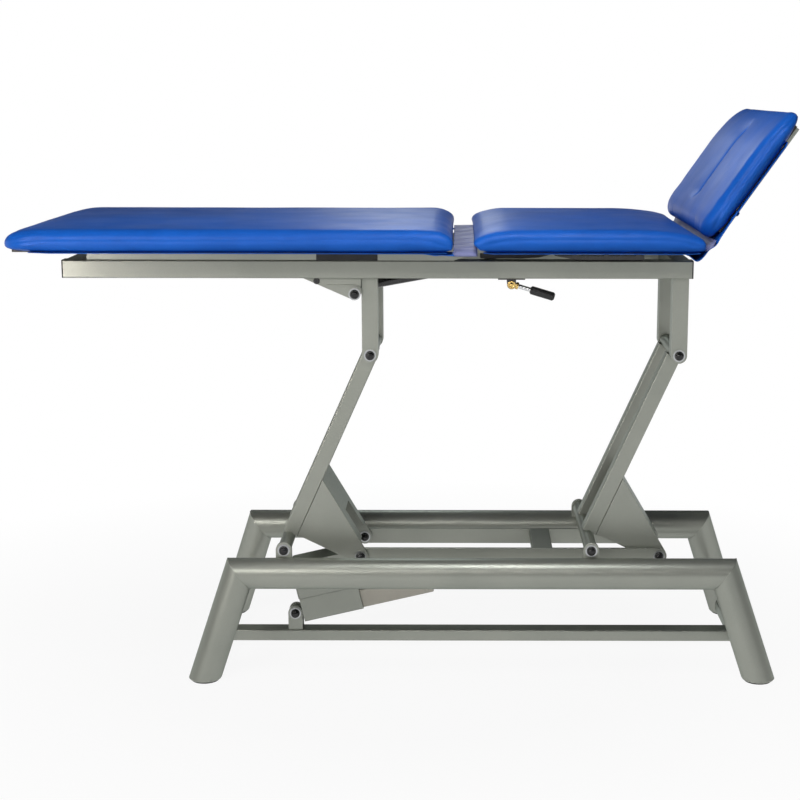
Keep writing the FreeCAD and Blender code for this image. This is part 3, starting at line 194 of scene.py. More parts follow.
def moulded(name, colour, rough=0.5, texture=900, strength=0.15, gloss=0.0):
    """Moulded plastic or rubber: spark-eroded texture, cloudy shade and a paler colour on the sharp edges."""
    look = Looks(name)
    cloud = look.noise(22, 4)
    paler = tuple(c * 1.9 + 0.006 for c in colour)
    tone = look.mix(look.span(cloud, 0.0, 0.6, 0.35, 0.75), colour, paler)
    soft, edges = look.rounded(0.0009)
    # The sharp edges are given a paler colour.
    paler_edges = look.span(edges, 0.0, 0.3)
    look.colour(look.mix(paler_edges, tone, tuple(c * 2.5 + 0.015 for c in colour)))
    look.rough(look.span(look.noise(60, 3), rough - 0.06, rough + 0.1, 0.3, 0.7))
    look.set(Specular_IOR_Level=0.5, Coat_Weight=gloss, Coat_Roughness=0.08)
    look.normal(look.bump(look.noise(texture, 2), strength, 0.0003, soft))
    return look.material


def bright_metal(name, colour, rough):
    """Plated or drawn metal: fine drawing lines, small stains and uneven polish."""
    look = Looks(name)
    lines = look.noise(1.0, 3, spot=look.stretched((900, 30, 900)))
    stain = look.noise(35, 4, 0.65)
    look.colour(look.mix(look.span(stain, 0.0, 0.5, 0.4, 0.8), colour, tuple(c * 0.72 for c in colour)))
    look.rough(look.span(lines, rough * 0.75, rough * 1.35, 0.3, 0.7))
    look.set(Metallic=1.0)
    look.normal(look.bump(lines, 0.04, 0.0003))
    return look.material


def laminate(name, dark, light):
    """Dark sealed plywood: long grain, pores and a thin varnish."""
    look = Looks(name)
    grain = look.noise(1.0, 5, 0.65, look.stretched((14, 160, 160)))
    pores = look.cells(1.0, spot=look.stretched((60, 900, 900)))
    tone = look.mix(look.span(grain, 0.0, 1.0, 0.3, 0.7), dark, light)
    shade = look.ramp(pores, (0.0, (0.7, 0.7, 0.7)), (0.5, (1.0, 1.0, 1.0)))
    look.colour(look.mix(0.5, tone, shade, "MULTIPLY"))
    look.rough(look.span(grain, 0.45, 0.62))
    look.normal(look.bump(grain, 0.15, 0.0005))
    return look.material


SILVER_DARK = (0.29, 0.31, 0.275)
SILVER_LIGHT = (0.42, 0.43, 0.385)
BLUE_DARK = (0.004, 0.082, 0.42)
BLUE_LIGHT = (0.010, 0.128, 0.60)

looks = {
    "frame_paint": metallic_paint("silver_enamel", SILVER_DARK, SILVER_LIGHT),
    "foot_rubber": moulded("foot_rubber", (0.014, 0.014, 0.015), 0.7, 500, 0.3),
    "black_caps": moulded("gloss_cap_plastic", (0.004, 0.004, 0.005), 0.14, 1200, 0.02),
    "zinc_steel": bright_metal("zinc_plate", (0.52, 0.53, 0.54), 0.3),
    "bush_plastic": moulded("bush_plastic", (0.18, 0.17, 0.14), 0.55),
    "blue_vinyl": vinyl("blue_vinyl", BLUE_DARK, BLUE_LIGHT),
    # The covers' vinyl is the blue vinyl painted lighter and lavender, a painted sheen for the highlights on the
    # pleats' crests.
    "cover_vinyl": vinyl("cover_vinyl", (0.16, 0.18, 0.36), (0.22, 0.24, 0.44)),
    "board_wood": laminate("sealed_board", (0.012, 0.012, 0.012), (0.03, 0.028, 0.026)),
    "black_plastic": moulded("housing_plastic", (0.013, 0.013, 0.014), 0.48, 700, 0.2),
    "tube_aluminium": metallic_paint("sanded_aluminium", (0.42, 0.40, 0.35), (0.50, 0.48, 0.42), 0.42, 0.5),
    "bright_steel": bright_metal("bright_steel", (0.72, 0.73, 0.74), 0.12),
    "black_steel": moulded("black_enamel", (0.012, 0.012, 0.013), 0.28, 900, 0.05, 0.4),
    "grip_rubber": moulded("grip_rubber", (0.010, 0.010, 0.011), 0.42, 800, 0.2),
    "brass_ring": bright_metal("brass", (0.72, 0.50, 0.18), 0.2),
}

for item in nodes.values():
    for place in item.material_slots:
        kind = place.material.name.split(".")[0]
        place.material = looks.get(kind, looks["frame_paint"])


# Building pieces

BOARD_Z = 0.97301
HEAD_HINGE = Vector((0.649, 0, 0.96451))
HEAD_ANGLE = math.radians(55)
HEAD_TURN = Matrix.Rotation(-HEAD_ANGLE, 3, "Y")
LONG_PLACE = Matrix.Translation((-0.842, 0, BOARD_Z))
MIDDLE_PLACE = Matrix.Translation((0.163, 0, BOARD_Z))
HEAD_PLACE = (Matrix.Translation(HEAD_HINGE) @ Matrix.Rotation(-HEAD_ANGLE, 4, "Y")
              @ Matrix.Translation((0.0323, 0, 0.0085)))
LONG_LENGTH, MIDDLE_LENGTH, HEAD_LENGTH = 0.953, 0.479, 0.317
PAD_HALF, HEAD_HALF = 0.350, 0.336
PAD_HEIGHT, HEAD_HEIGHT = 0.048, 0.044
PAD_CROWN = 0.005
PAD_SHOULDER = 0.030
PAD_TUCK = 0.003
FABRIC = 0.0012
PUFF_FRAMES = 12
PUFF_CAP = 0.0045


def side_word(side):
    """The word for a side of the couch: the camera looks from the near one, -y."""
    return "near" if side < 0 else "far"


def skin(rows, size):
    """Faces of closed rings in rows, each ring of that size."""
    return [(row * size + step, (row + 1) * size + step, (row + 1) * size + (step + 1) % size,
             row * size + (step + 1) % size)
            for row in range(rows - 1) for step in range(size)]


def lathed(rows, size):
    """The same, facing the other way, and closed at both ends."""
    faces = [(row * size + step, row * size + (step + 1) % size, (row + 1) * size + (step + 1) % size,
              (row + 1) * size + step)
             for row in range(rows - 1) for step in range(size)]
    return faces + [tuple(reversed(range(size))), tuple(range((rows - 1) * size, rows * size))]


def made(name, points, faces, look, smooth=True):
    """A mesh object from its points and faces."""
    mesh = bpy.data.meshes.new(name)
    mesh.from_pydata([tuple(p) for p in points], [], faces)
    mesh.validate()
    if smooth:
        mesh.shade_smooth()
    mesh.materials.append(look)
    item = bpy.data.objects.new(name, mesh)
    scene.collection.objects.link(item)
    return item


def settle(item):
    """Apply the modifiers of a piece."""
    bpy.context.view_layer.update()
    graph = bpy.context.evaluated_depsgraph_get()
    mesh = bpy.data.meshes.new_from_object(item.evaluated_get(graph), depsgraph=graph)
    item.modifiers.clear()
    item.data = mesh
    return item


def turned(name, profile, centre, axis, look, steps=48):
    """A turned piece: profile of (radius, height) from its foot outwards along the axis."""
    points = []
    turn = Vector(axis).to_track_quat("Z", "Y").to_matrix()
    for radius, height in profile:
        for step in range(steps):
            angle = 2 * math.pi * step / steps
            spot = Vector((radius * math.cos(angle), radius * math.sin(angle), height))
            points.append(turn @ spot + Vector(centre))
    return made(name, points, lathed(len(profile), steps), look)


def islands(node):
    """The separate solids of a CAD node, as arrays of their corners."""
    mesh = nodes[node].data
    work = bmesh.new()
    work.from_mesh(mesh)
    bmesh.ops.remove_doubles(work, verts=work.verts, dist=1e-6)
    work.verts.ensure_lookup_table()
    seen = set()
    found = []
    for first in work.verts:
        if first.index in seen:
            continue
        group = [first]
        seen.add(first.index)
        for vert in group:
            for edge in vert.link_edges:
                other = edge.other_vert(vert)
                if other.index not in seen:
                    seen.add(other.index)
                    group.append(other)
        found.append(np.array([tuple(v.co) for v in group]))
    work.free()
    return found


# Cushions

def roll(share):
    """How much of its drop an end has left at this share of its roll."""
    share = min(max(share, 0.0), 1.0)
    return 1 - (1 - (1 - share) ** 1.75) ** (1 / 1.75)


def corner_inset(distance, radius):
    """How far a round corner of that radius stays back at a distance from the end."""
    if radius <= 0 or distance >= radius:
        return 0.0
    return radius - math.sqrt(max(radius * radius - (radius - distance) ** 2, 0.0))


def ring(half, height, crown):
    """Points round one section, from the far bottom edge over the top to the near one and back."""
    side = 0.42 * height
    shoulder = min(PAD_SHOULDER, half * 0.5)
    edge = half - shoulder
    right = []
    for step in range(7):
        share = step / 6
        right.append((half - PAD_TUCK * (1 - share) ** 2, side * share))
    for step in range(1, 13):
        angle = math.pi / 2 * step / 12
        right.append((edge + shoulder * math.cos(angle), side + (height - side) * math.sin(angle)))
    top = []
    for step in range(1, 60):
        y = edge * (1 - 2 * step / 60)
        top.append((y, height + crown * (1 - (y / edge) ** 2)))
    left = [(-y, z) for y, z in reversed(right)]
    bottom = [(-(half - PAD_TUCK) * (1 - 2 * step / 40), 0.0) for step in range(1, 40)]
    return right + top + left + bottom


def pad_form(length, half, height, left, right, shrink=0.0):
    """Closed cushion in its own frame. An end is (roll, drop, plan corner)."""
    rows = []
    count = 120
    for step in range(count + 1):
        share = 0.5 - 0.5 * math.cos(math.pi * step / count)
        x = length * share
        from_left, from_right = x, length - x
        fall = max(left[1] * roll(from_left / left[0]), right[1] * roll(from_right / right[0]))
        inset = max(corner_inset(from_left, left[2]), corner_inset(from_right, right[2]))
        inset += 0.004 * (1 - (2 * share - 1) ** 2)
        near_end = min(from_left, from_right)
        nose = corner_inset(near_end, 0.008)
        tall = height - fall - nose * 0.75 - shrink
        wide = half - inset - nose * 0.5 - shrink
        lift = PAD_CROWN * min(1.0, near_end / 0.1)
        rows.append([(shrink + x * (length - 2 * shrink) / length, y, z)
                     for y, z in ring(wide, tall, lift)])
    size = len(rows[0])
    points = [p for row in rows for p in row]
    faces = skin(count + 1, size)
    faces.append(tuple(range(size)))
    faces.append(tuple(reversed(range(count * size, (count + 1) * size))))
    return points, faces


def puffed(item, voxel):
    """Remesh a pad, blow it up as cloth for a few frames, and hold each point within the cap."""
    remesh = item.modifiers.new("remesh", "REMESH")
    remesh.mode = "VOXEL"
    remesh.voxel_size = voxel
    settle(item)
    start = np.array([tuple(v.co) for v in item.data.vertices])
    cloth = item.modifiers.new("cloth", "CLOTH")
    cloth.settings.quality = 5
    cloth.settings.mass = 0.3
    cloth.settings.tension_stiffness = 25
    cloth.settings.compression_stiffness = 25
    cloth.settings.use_pressure = True
    cloth.settings.uniform_pressure_force = 5.5
    cloth.settings.effector_weights.gravity = 0
    cloth.point_cache.frame_start = 1
    cloth.point_cache.frame_end = PUFF_FRAMES
    for frame_number in range(1, PUFF_FRAMES + 1):
        scene.frame_set(frame_number)
    settle(item)
    now = np.array([tuple(v.co) for v in item.data.vertices])
    moved = now - start
    size = np.linalg.norm(moved, axis=1)
    size[size < 1e-9] = 1e-9
    held = np.minimum(size, PUFF_CAP) / size
    now = start + moved * held[:, None]
    item.data.vertices.foreach_set("co", now.ravel())
    item.data.update()
    scene.frame_set(1)
    smooth = item.modifiers.new("smooth", "SMOOTH")
    smooth.factor = 0.5
    smooth.iterations = 6
    finer = item.modifiers.new("finer", "SUBSURF")
    finer.levels = finer.render_levels = 1
    settle(item)


def shaped(item, change):
    """Move every point of a piece by a function of the points and their normals."""
    mesh = item.data
    count = len(mesh.vertices)
    spots = np.empty(count * 3)
    mesh.vertices.foreach_get("co", spots)
    spots = spots.reshape(-1, 3)
    normals = np.empty(count * 3)
    mesh.vertices.foreach_get("normal", normals)
    normals = normals.reshape(-1, 3)
    mesh.vertices.foreach_set("co", change(spots, normals).ravel())
    mesh.update()
    mesh.shade_smooth()


def hill(values, width):
    """A bell of that width round zero."""
    return np.exp(-(values / width) ** 2)


def dressed(length, half, height, valley=0.0, overhang=0.0):
    """The welt crease round the sides, drag wrinkles at the corners, and the channel if there is one."""

    def change(spots, normals):
        x, y, z = spots.T
        near_end = np.minimum(x, length - x)
        side = np.clip((np.abs(y) - (half - 0.06)) / 0.05, 0, 1)
        crease_z = 0.029 - 0.014 * hill(near_end, 0.045)
        depth = 0.0019 * hill(z - crease_z, 0.0040) * side * np.clip(near_end / 0.03, 0.15, 1)
        depth -= 0.0008 * hill(z - crease_z + 0.013, 0.008) * side
        ripple = np.sin(near_end / 0.0105 + 3 * np.sin(z / 0.02 + y * 3)) * hill(near_end - 0.055, 0.035)
        depth += 0.00035 * ripple * side * np.clip(z / 0.02, 0, 1)
        long_wave = np.sin(x / 0.045 + 2.0 * np.sin(y * 9)) * np.sin(y / 0.06 + 1.5 * np.sin(x * 7))
        depth += 0.0003 * long_wave * np.clip((z - 0.034) / 0.008, 0, 1)
        if valley:
            along = np.clip((x - 0.16 * length) / (0.1 * length), 0, 1)
            along *= np.clip((0.9 * length - x) / (0.14 * length), 0, 1)
            along = along * along * (3 - 2 * along)
            bend = y - 0.0015 * np.sin(x * 17)
            top = np.clip((z - 0.02) / 0.015, 0, 1)
            depth += valley * top * along * (0.75 * np.exp(-np.abs(bend) / 0.009) + 0.5 * hill(bend, 0.06))
            depth += valley * 0.2 * top * hill(bend, 0.09)
        moved = spots - normals * depth[:, None]
        swell = np.clip((z - 0.008) / 0.012, 0, 1) * np.clip((0.05 - z) / 0.012, 0, 1)
        lean = overhang * swell * swell * (3 - 2 * swell) * np.exp(-x / 0.025)
        low = np.where((np.abs(y) < half - 0.028) & (near_end > 0.028), 0.0022, 0.0)
        moved[:, 2] = np.maximum(moved[:, 2], low)
        moved[:, 0] = np.clip(moved[:, 0], 0.0002, length - 0.0002) - lean
        return moved

    return change


def cushion(name, node, body, place, length, half, height, left, right, valley=0.0, overhang=0.0, voxel=0.006):
    """A padded cushion, brought back to the size of its form after the smoothing."""
    points, faces = pad_form(length, half, height, left, right, shrink=0.0018)
    full = np.array(pad_form(length, half, height, left, right)[0])
    item = made(name, points, faces, looks["blue_vinyl"])
    puffed(item, voxel)
    shaped(item, lambda spots, normals:
           full.min(0) + (spots - spots.min(0)) * np.ptp(full, 0) / np.ptp(spots, 0))
    shaped(item, dressed(length, half, height, valley, overhang))
    item.data.transform(place)
    if not item.data.materials:
        item.data.materials.append(looks["blue_vinyl"])
    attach(item, body)
    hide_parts(node)


cushion("long_pad", "long_cushion", "top_frame", LONG_PLACE, LONG_LENGTH, PAD_HALF, PAD_HEIGHT,
        (0.085, 0.026, 0.070), (0.050, 0.026, 0.0))
cushion("middle_pad", "mid_cushion", "middle_section", MIDDLE_PLACE, MIDDLE_LENGTH, PAD_HALF, PAD_HEIGHT,
        (0.075, 0.026, 0.0), (0.145, 0.026, 0.0), overhang=0.009)
cushion("head_pad", "head_cushion", "head_section", HEAD_PLACE, HEAD_LENGTH, HEAD_HALF, HEAD_HEIGHT,
        (0.040, 0.016, 0.060), (0.120, 0.028, 0.066), valley=0.009, voxel=0.005)


# Covers over the two hinges

def sheet(name, rows, look, thickness):
    """A grid of points as fabric of that thickness."""
    width = len(rows[0])
    points = [p for row in rows for p in row]
    faces = []
    for row in range(len(rows) - 1):
        for step in range(width - 1):
            base = row * width + step
            faces.append((base, base + 1, base + width + 1, base + width))
    item = made(name, points, faces, look)
    thick = item.modifiers.new("thick", "SOLIDIFY")
    thick.thickness = thickness
    thick.offset = 0
    return settle(item)


def pleated_cover():
    """Pleats side by side, each along the couch, with hems that hang over the near and far edges."""
    rows = []
    half = 0.320
    pleats = 12
    bits = 14
    pitch = half * 2 / pleats
    for step in range(15):
        across = step / 14
        x = 0.1116 + (0.1624 - 0.1116) * across
        row = []
        for turn in range(pleats * bits + 1):
            y = -half + pitch * turn / bits
            phase = (turn % bits) / bits
            fold = math.sin(math.pi * phase) ** 0.7
            slack = 0.0012 * math.sin(3.1 * y / pitch + 5 * across)
            sag = 0.0022 * math.sin(math.pi * across)
            row.append((x, y, BOARD_Z + 0.0025 + 0.0050 * fold + slack * fold * 0.6 - sag * 0.4))
        for side in (-1, 1):
            hem = []
            for bend in range(1, 7):
                angle = math.pi / 2 * bend / 6
                hem.append((x, side * (half + 0.012 * math.sin(angle)),
                            BOARD_Z + 0.0025 - 0.010 * (1 - math.cos(angle))))
            row = hem[::-1] + row if side < 0 else row + hem
        rows.append(row)
    item = sheet("pleated_cover", rows, looks["cover_vinyl"], FABRIC)
    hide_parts("mid_gap_cover")
    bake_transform(item)


def head_cover():
    """Narrow strip between the two cushions, and a flap outside each hinge."""
    top = HEAD_HINGE + HEAD_TURN @ Vector((0.0325, 0, 0.0095))
    rows = []
    for step in range(9):
        share = step / 8
        row = []
        for bit in range(97):
            y = -0.334 + 0.668 * bit / 96
            low = Vector((0.6412, y, BOARD_Z + 0.0105))
            high = Vector((top.x + 0.0030, y, top.z + 0.0040))
            spot = low.lerp(high, share)
            edge = max(0.0, (abs(y) - 0.30) / 0.034)
            sag = math.sin(math.pi * share)
            ripple = 0.0008 * math.sin(y / 0.021 + 1.7 * math.sin(y * 23))
            spot.z += -0.0025 * sag + ripple * sag - 0.006 * edge * edge * (1 - share)
            spot.x += 0.0025 * sag + 0.002 * edge * sag
            row.append(tuple(spot))
        rows.append(row)
    strip = sheet("hinge_strip", rows, looks["cover_vinyl"], FABRIC)
    flaps = []
    path = [Vector(spot) for spot in ((0.596, 0, 0.9718), (0.610, 0, 0.9665), (0.6215, 0, 0.9575),
                                      (0.6300, 0, 0.9590), (0.6400, 0, 0.9690), (0.6490, 0, 0.9810))]
    for reach, drop in ((0.030, 0.0035), (0.050, 0.0050), (0.080, 0.0062), (0.112, 0.0074)):
        path.append(HEAD_HINGE + HEAD_TURN @ Vector((reach, 0, drop)))
    for side in (-1, 1):
        rows = []
        for bit in range(25):
            y = side * (0.165 + 0.169 * bit / 24)
            row = []
            for step in range(49):
                place = step / 48 * (len(path) - 1)
                index = min(int(place), len(path) - 2)
                before = path[max(index - 1, 0)]
                first = path[index]
                second = path[index + 1]
                after = path[min(index + 2, len(path) - 1)]
                t = place - index
                spot = 0.5 * (2 * first + (second - before) * t
                              + (2 * before - 5 * first + 4 * second - after) * t * t
                              + (3 * first - before - 3 * second + after) * t ** 3)
                spot.z -= 0.0005 * math.sin(y / 0.017 + 5 * step / 48)
                row.append((spot.x, y, spot.z))
            rows.append(row)
        flaps.append(sheet(f"hinge_flap_{side_word(side)}", rows, looks["blue_vinyl"], 0.0015))
    for item, slot in [(strip, "cover_vinyl")] + [(flap, "blue_vinyl") for flap in flaps]:
        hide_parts("head_gap_cover")
        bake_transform(item)
    spot = HEAD_HINGE + HEAD_TURN @ Vector((0.108, 0, 0.0072))
    profile = ((0.0052, -0.001), (0.0056, 0.0), (0.0056, 0.0015), (0.0040, 0.0022), (0.0040, 0.0030),
               (0.0052, 0.0036), (0.0050, 0.0052), (0.0036, 0.0062), (0.0015, 0.0067), (0.0003, 0.0068))
    for side in (-1, 1):
        stud = turned(f"flap_stud_{side_word(side)}", profile, (spot.x, side * 0.322, spot.z),
                      HEAD_TURN @ Vector((0, 0, -1)), looks["blue_vinyl"], 32)
        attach(stud, "head_section")


def hems():
    """The folded edge of each cushion's cover, stapled along the board's underside."""
    for name, body, place, length, half, thick in (
            ("long", "top_frame", LONG_PLACE, LONG_LENGTH, PAD_HALF, 0.0022),
            ("middle", "middle_section", MIDDLE_PLACE, MIDDLE_LENGTH, PAD_HALF, 0.0022),
            ("head", "head_section", HEAD_PLACE, HEAD_LENGTH, HEAD_HALF, 0.0045)):
        for side in (-1, 1):
            rows = []
            count = 120
            margin = 0.062 if name != "middle" else 0.012
            right = 0.012 if name != "head" else 0.062
            for step in range(count + 1):
                x = margin + (length - margin - right) * step / count
                edge = half - 0.0045 - 0.004 * (1 - (2 * step / count - 1) ** 2)
                taper = min(1.0, step / 6, (count - step) / 6)
                row = []
                for bit in range(11):
                    share = bit / 10
                    y = edge - 0.026 * share
                    lump = math.sin(math.pi * min(1.0, share * 2.2 + 0.12)) if share < 0.4 else 0.3
                    pleat = 0.15 * math.sin(x / 0.0065 + 2 * math.sin(x * 31))
                    drop = thick * taper * (0.35 + 0.65 * max(lump, 0.0)) * (1 + pleat * share)
                    row.append((x, side * y, 0.0006 - drop))
                rows.append(row)
            item = sheet(f"{name}_hem_{side_word(side)}", rows, looks["blue_vinyl"], 0.0009)
            item.data.transform(place)
            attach(item, body)


hems()
pleated_cover()
head_cover()


# Caps on the pins

# Radius and height in mm of a cap that is 21 mm wide
CAP_PROFILE = ((10.2, 0.2), (10.5, 0.8), (10.5, 2.2), (10.1, 2.9), (9.6, 3.2), (9.35, 3.5), (9.2, 6.4),
               (8.9, 8.2), (8.2, 9.9), (7.1, 11.2), (5.6, 12.15), (3.8, 12.7), (1.9, 12.93), (0.4, 12.98))


def pin_caps(node, body):
    """Domed caps in place of the plain ones, each with its foot where the plain one's foot is."""
    for number, spots in enumerate(islands(node)):
        low, high = spots.min(0), spots.max(0)
        near = spots[spots[:, 1] < low[1] + 1e-5]
        far = spots[spots[:, 1] > high[1] - 1e-5]
        sign = -1 if np.ptp(far[:, 0]) > np.ptp(near[:, 0]) else 1
        foot = high[1] if sign < 0 else low[1]
        size = (high[0] - low[0]) / 0.021
        profile = [(radius / 1000 * size, height / 1000) for radius, height in CAP_PROFILE]
        cap = turned(f"{node}_dome_{number + 1}", profile,
                     ((low[0] + high[0]) / 2, foot, (low[2] + high[2]) / 2), (0, sign, 0), looks["black_caps"])
        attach(cap, body)
        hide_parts(node)


def bead(name, loop, body, radius):
    """A weld along a loop of points, with the ripples that it sets in."""
    loop = [Vector(p) for p in loop]
    lengths = [(loop[(i + 1) % len(loop)] - loop[i]).length for i in range(len(loop))]
    total = sum(lengths)
    count = max(24, int(total / 0.0012))
    spots = []
    for step in range(count):
        along = total * step / count
        index = 0
        while along > lengths[index]:
            along -= lengths[index]
            index += 1
        spots.append(loop[index].lerp(loop[(index + 1) % len(loop)], along / lengths[index]))
    middle = sum(spots, Vector()) / count
    points = []
    faces = []
    for step, spot in enumerate(spots):
        ahead = (spots[(step + 2) % count] - spots[step - 2]).normalized()
        out = (spot - middle).normalized()
        out = (out - ahead * out.dot(ahead)).normalized()
        other = ahead.cross(out)
        size = radius * (1 + 0.14 * math.sin(step * 2 * math.pi / 4) + 0.08 * noise.noise(spot * 90))
        for turn in range(8):
            angle = 2 * math.pi * turn / 8
            points.append(spot + (out * math.cos(angle) + other * math.sin(angle)) * size)
    for step in range(count):
        after = (step + 1) % count
        for turn in range(8):
            beside = (turn + 1) % 8
            faces.append((step * 8 + turn, after * 8 + turn, after * 8 + beside, step * 8 + beside))
    item = made(name, points, faces, looks["frame_paint"])
    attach(item, body)


def mitre(name, first, second, body):
    """The weld round the mitre where two tubes meet, through the corners that their solids share."""
    ends = np.array([tuple(v.co) for v in nodes[first].data.vertices])
    others = np.array([tuple(v.co) for v in nodes[second].data.vertices])
    low, high = others.min(0) - 1e-4, others.max(0) + 1e-4
    near = ends[np.all((ends > low) & (ends < high), axis=1)]
    gaps = np.array([np.abs(others - spot).sum(1).min() for spot in near])
    shared = np.unique(np.round(near[gaps < 2e-4], 5), axis=0)
    centre = shared.mean(0)
    axes = np.linalg.svd(shared - centre)[2]
    flat = (shared - centre) @ axes[:2].T
    reach = np.hypot(flat[:, 0], flat[:, 1])
    outer = shared[reach > reach.max() * 0.8]
    angles = np.arctan2(*((outer - centre) @ axes[:2].T).T)
    bead(name, outer[np.argsort(angles)], body, 0.0016)


for word in ("front", "rear"):
    for hand in ("left", "right"):
        mitre(f"mitre_{word}_{hand}", f"base_rail_{word}", f"leg_{word}_{hand}", "base")
for hand in ("left", "right"):
    for number, spots in enumerate(islands(f"{hand}_posts")):
        low, high = spots.min(0), spots.max(0)
        corners = [(low[0] + a * (high[0] - low[0]), low[1] + b * (high[1] - low[1]), high[2])
                   for a, b in ((0.06, 0), (0.94, 0), (1, 0.06), (1, 0.94), (0.94, 1), (0.06, 1), (0, 0.94),
                                (0, 0.06))]
        bead(f"post_weld_{hand}_{number + 1}", corners, "top_frame", 0.0014)


def feet():
    """A closed tube end and a round glide under each leg."""
    for number, spots in enumerate(islands("foot_pads")):
        low, high = spots.min(0), spots.max(0)
        centre = ((low[0] + high[0]) / 2, (low[1] + high[1]) / 2, 0)
        tall = high[2] - low[2]
        end_profile = ((0.031, tall * 0.52), (0.0340, tall * 0.56), (0.0352, tall * 0.68), (0.0354, tall * 0.9),
                       (0.0354, tall * 0.999))
        glide_profile = ((0.0270, 0.0), (0.0298, 0.0006), (0.0308, 0.0016), (0.0308, tall * 0.46),
                         (0.0300, tall * 0.53), (0.020, tall * 0.57))
        plug = turned(f"leg_end_{number + 1}", end_profile, centre, (0, 0, 1), looks["frame_paint"])
        glide = turned(f"glide_{number + 1}", glide_profile, centre, (0, 0, 1), looks["foot_rubber"])
        for item, slot in ((plug, "frame_paint"), (glide, "foot_rubber")):
            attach(item, "base")
            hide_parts("foot_pads")


def bracket_bolt(side):
    """A bolt head on a washer on the gas-spring bracket, its corners turned off, with a dimple on top."""
    across = 0.0092
    height = 0.0052
    centre = Vector((-0.1925, side * 0.1485, 0.8925))
    points = []
    turn = Vector((0, side, 0)).to_track_quat("Z", "Y").to_matrix()
    steps = 48
    rows = ((across * 0.78, 0.0, 1), (across * 0.80, height * 0.06, 1), (across * 0.80, height * 0.2, 1),
            (across * 0.76, height * 0.24, 1), (across * 0.56, height * 0.25, 0), (across * 0.577, height * 0.3, 0),
            (across * 0.577, height * 0.88, 0), (across * 0.52, height, 1), (across * 0.24, height * 1.0, 1),
            (across * 0.16, height * 0.88, 1), (across * 0.01, height * 0.84, 1))
    for radius, level, round_row in rows:
        for step in range(steps):
            angle = 2 * math.pi * step / steps
            folded = (angle + math.pi / 6) % (math.pi / 3) - math.pi / 6
            size = radius if round_row else radius * math.cos(math.pi / 6) / math.cos(folded)
            points.append(turn @ Vector((size * math.cos(angle), size * math.sin(angle), level)) + centre)
    item = made(f"bracket_bolt_{side_word(side)}", points, lathed(len(rows), steps), looks["black_steel"],
                smooth=False)
    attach(item, "top_frame")


def tube_collar():
    """The square wiper collar at the mouth of the actuator's outer tube."""
    rear = Vector((-0.2656, 0, 0.0815))
    ahead = (Vector((0.3185, 0, 0.2180)) - rear).normalized()
    up = Vector((0, 1, 0)).cross(ahead) * -1
    side = Vector((0, 1, 0))
    rows = ((0.3135, 0.0222), (0.3138, 0.0228), (0.3200, 0.0228), (0.3204, 0.0223), (0.3214, 0.0223),
            (0.3218, 0.0228), (0.3328, 0.0228), (0.3342, 0.0214), (0.3345, 0.0196), (0.3340, 0.0186),
            (0.3325, 0.0185))
    points = []
    steps = 64
    for place, half in rows:
        for step in range(steps):
            angle = 2 * math.pi * step / steps
            squareness = 0.28 if half > 0.0200 else 0.6
            c, s = math.cos(angle), math.sin(angle)
            y = math.copysign(abs(c) ** squareness, c) * half
            z = math.copysign(abs(s) ** squareness, s) * half
            points.append(rear + ahead * place + side * y + up * z)
    item = made("tube_collar", points, skin(len(rows), steps), looks["tube_aluminium"])
    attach(item, "actuator_body")


def bracket_ribs():
    """The pressed rib on the outer face of each gas-spring bracket."""
    path = [Vector((x, 0, z)) for x, z in (
        (-0.1720, 0.8830), (-0.1600, 0.8830), (-0.1300, 0.8830), (-0.1080, 0.8830), (-0.1000, 0.8812),
        (-0.0950, 0.8762), (-0.0938, 0.8690), (-0.0950, 0.8620))]
    spots = [first.lerp(second, bit / 6) for first, second in zip(path, path[1:]) for bit in range(6)]
    for side in (-1, 1):
        points = []
        faces = []
        for step, spot in enumerate(spots):
            ahead = (spots[min(step + 1, len(spots) - 1)] - spots[max(step - 1, 0)]).normalized()
            beside = ahead.cross(Vector((0, 1, 0)))
            size = 0.0017 * min(1.0, 0.25 + step / 4, 0.25 + (len(spots) - 1 - step) / 4)
            for turn in range(9):
                angle = math.pi * turn / 8
                lift = Vector((0, side * (0.14845 + 0.7 * size * math.sin(angle)), 0))
                points.append(spot + beside * math.cos(angle) * size + lift)
        for step in range(len(spots) - 1):
            for turn in range(8):
                base = step * 9 + turn
                faces.append((base, base + 9, base + 10, base + 1))
        item = made(f"bracket_rib_{side_word(side)}", points, faces, looks["frame_paint"])
        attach(item, "top_frame")


def dark_pads():
    """Black tapered pads under the left part of the middle section's bars, dark pieces set in the dark place there;
    they are not known to be stops.
    """
    outline = ((0.1700, 0.9556), (0.1700, 0.9452), (0.1715, 0.9440), (0.2650, 0.9440), (0.3000, 0.9462),
               (0.3350, 0.9549), (0.3360, 0.9556))
    layers = ((0.1335, 0.0012), (0.1345, 0.0), (0.1562, 0.0), (0.1572, 0.0012))
    for side in (-1, 1):
        points = []
        faces = []
        for y, inset in layers:
            for x, z in outline:
                low = z < 0.9550
                points.append((x + (inset if x < 0.2 else -inset), side * y, z + (inset if low else 0)))
        size = len(outline)
        for layer in range(len(layers) - 1):
            for step in range(size):
                after = (step + 1) % size
                base = layer * size
                faces.append((base + step, base + after, base + size + after, base + size + step))
        faces.append(tuple(range(size)))
        faces.append(tuple(reversed(range(3 * size, 4 * size))))
        item = made(f"dark_pad_{side_word(side)}", points, faces, looks["foot_rubber"], smooth=False)
        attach(item, "middle_section")


def cover_tabs():
    """The tail of the pleated cover, folded in under the long cushion's end."""
    for side in (-1, 1):
        rows = []
        for step in range(25):
            x = 0.048 + 0.066 * step / 24
            taper = min(1.0, step / 10)
            row = []
            for bit in range(15):
                y = side * (0.343 - 0.055 * bit / 14)
                fold = 0.0006 * math.sin(bit * 1.3 + x * 160)
                row.append((x, y, BOARD_Z - 0.0012 - 0.0030 * taper * (1 - bit / 20) + fold * taper))
            rows.append(row)
        item = sheet(f"cover_tab_{side_word(side)}", rows, looks["blue_vinyl"], FABRIC)
        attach(item, "top_frame")


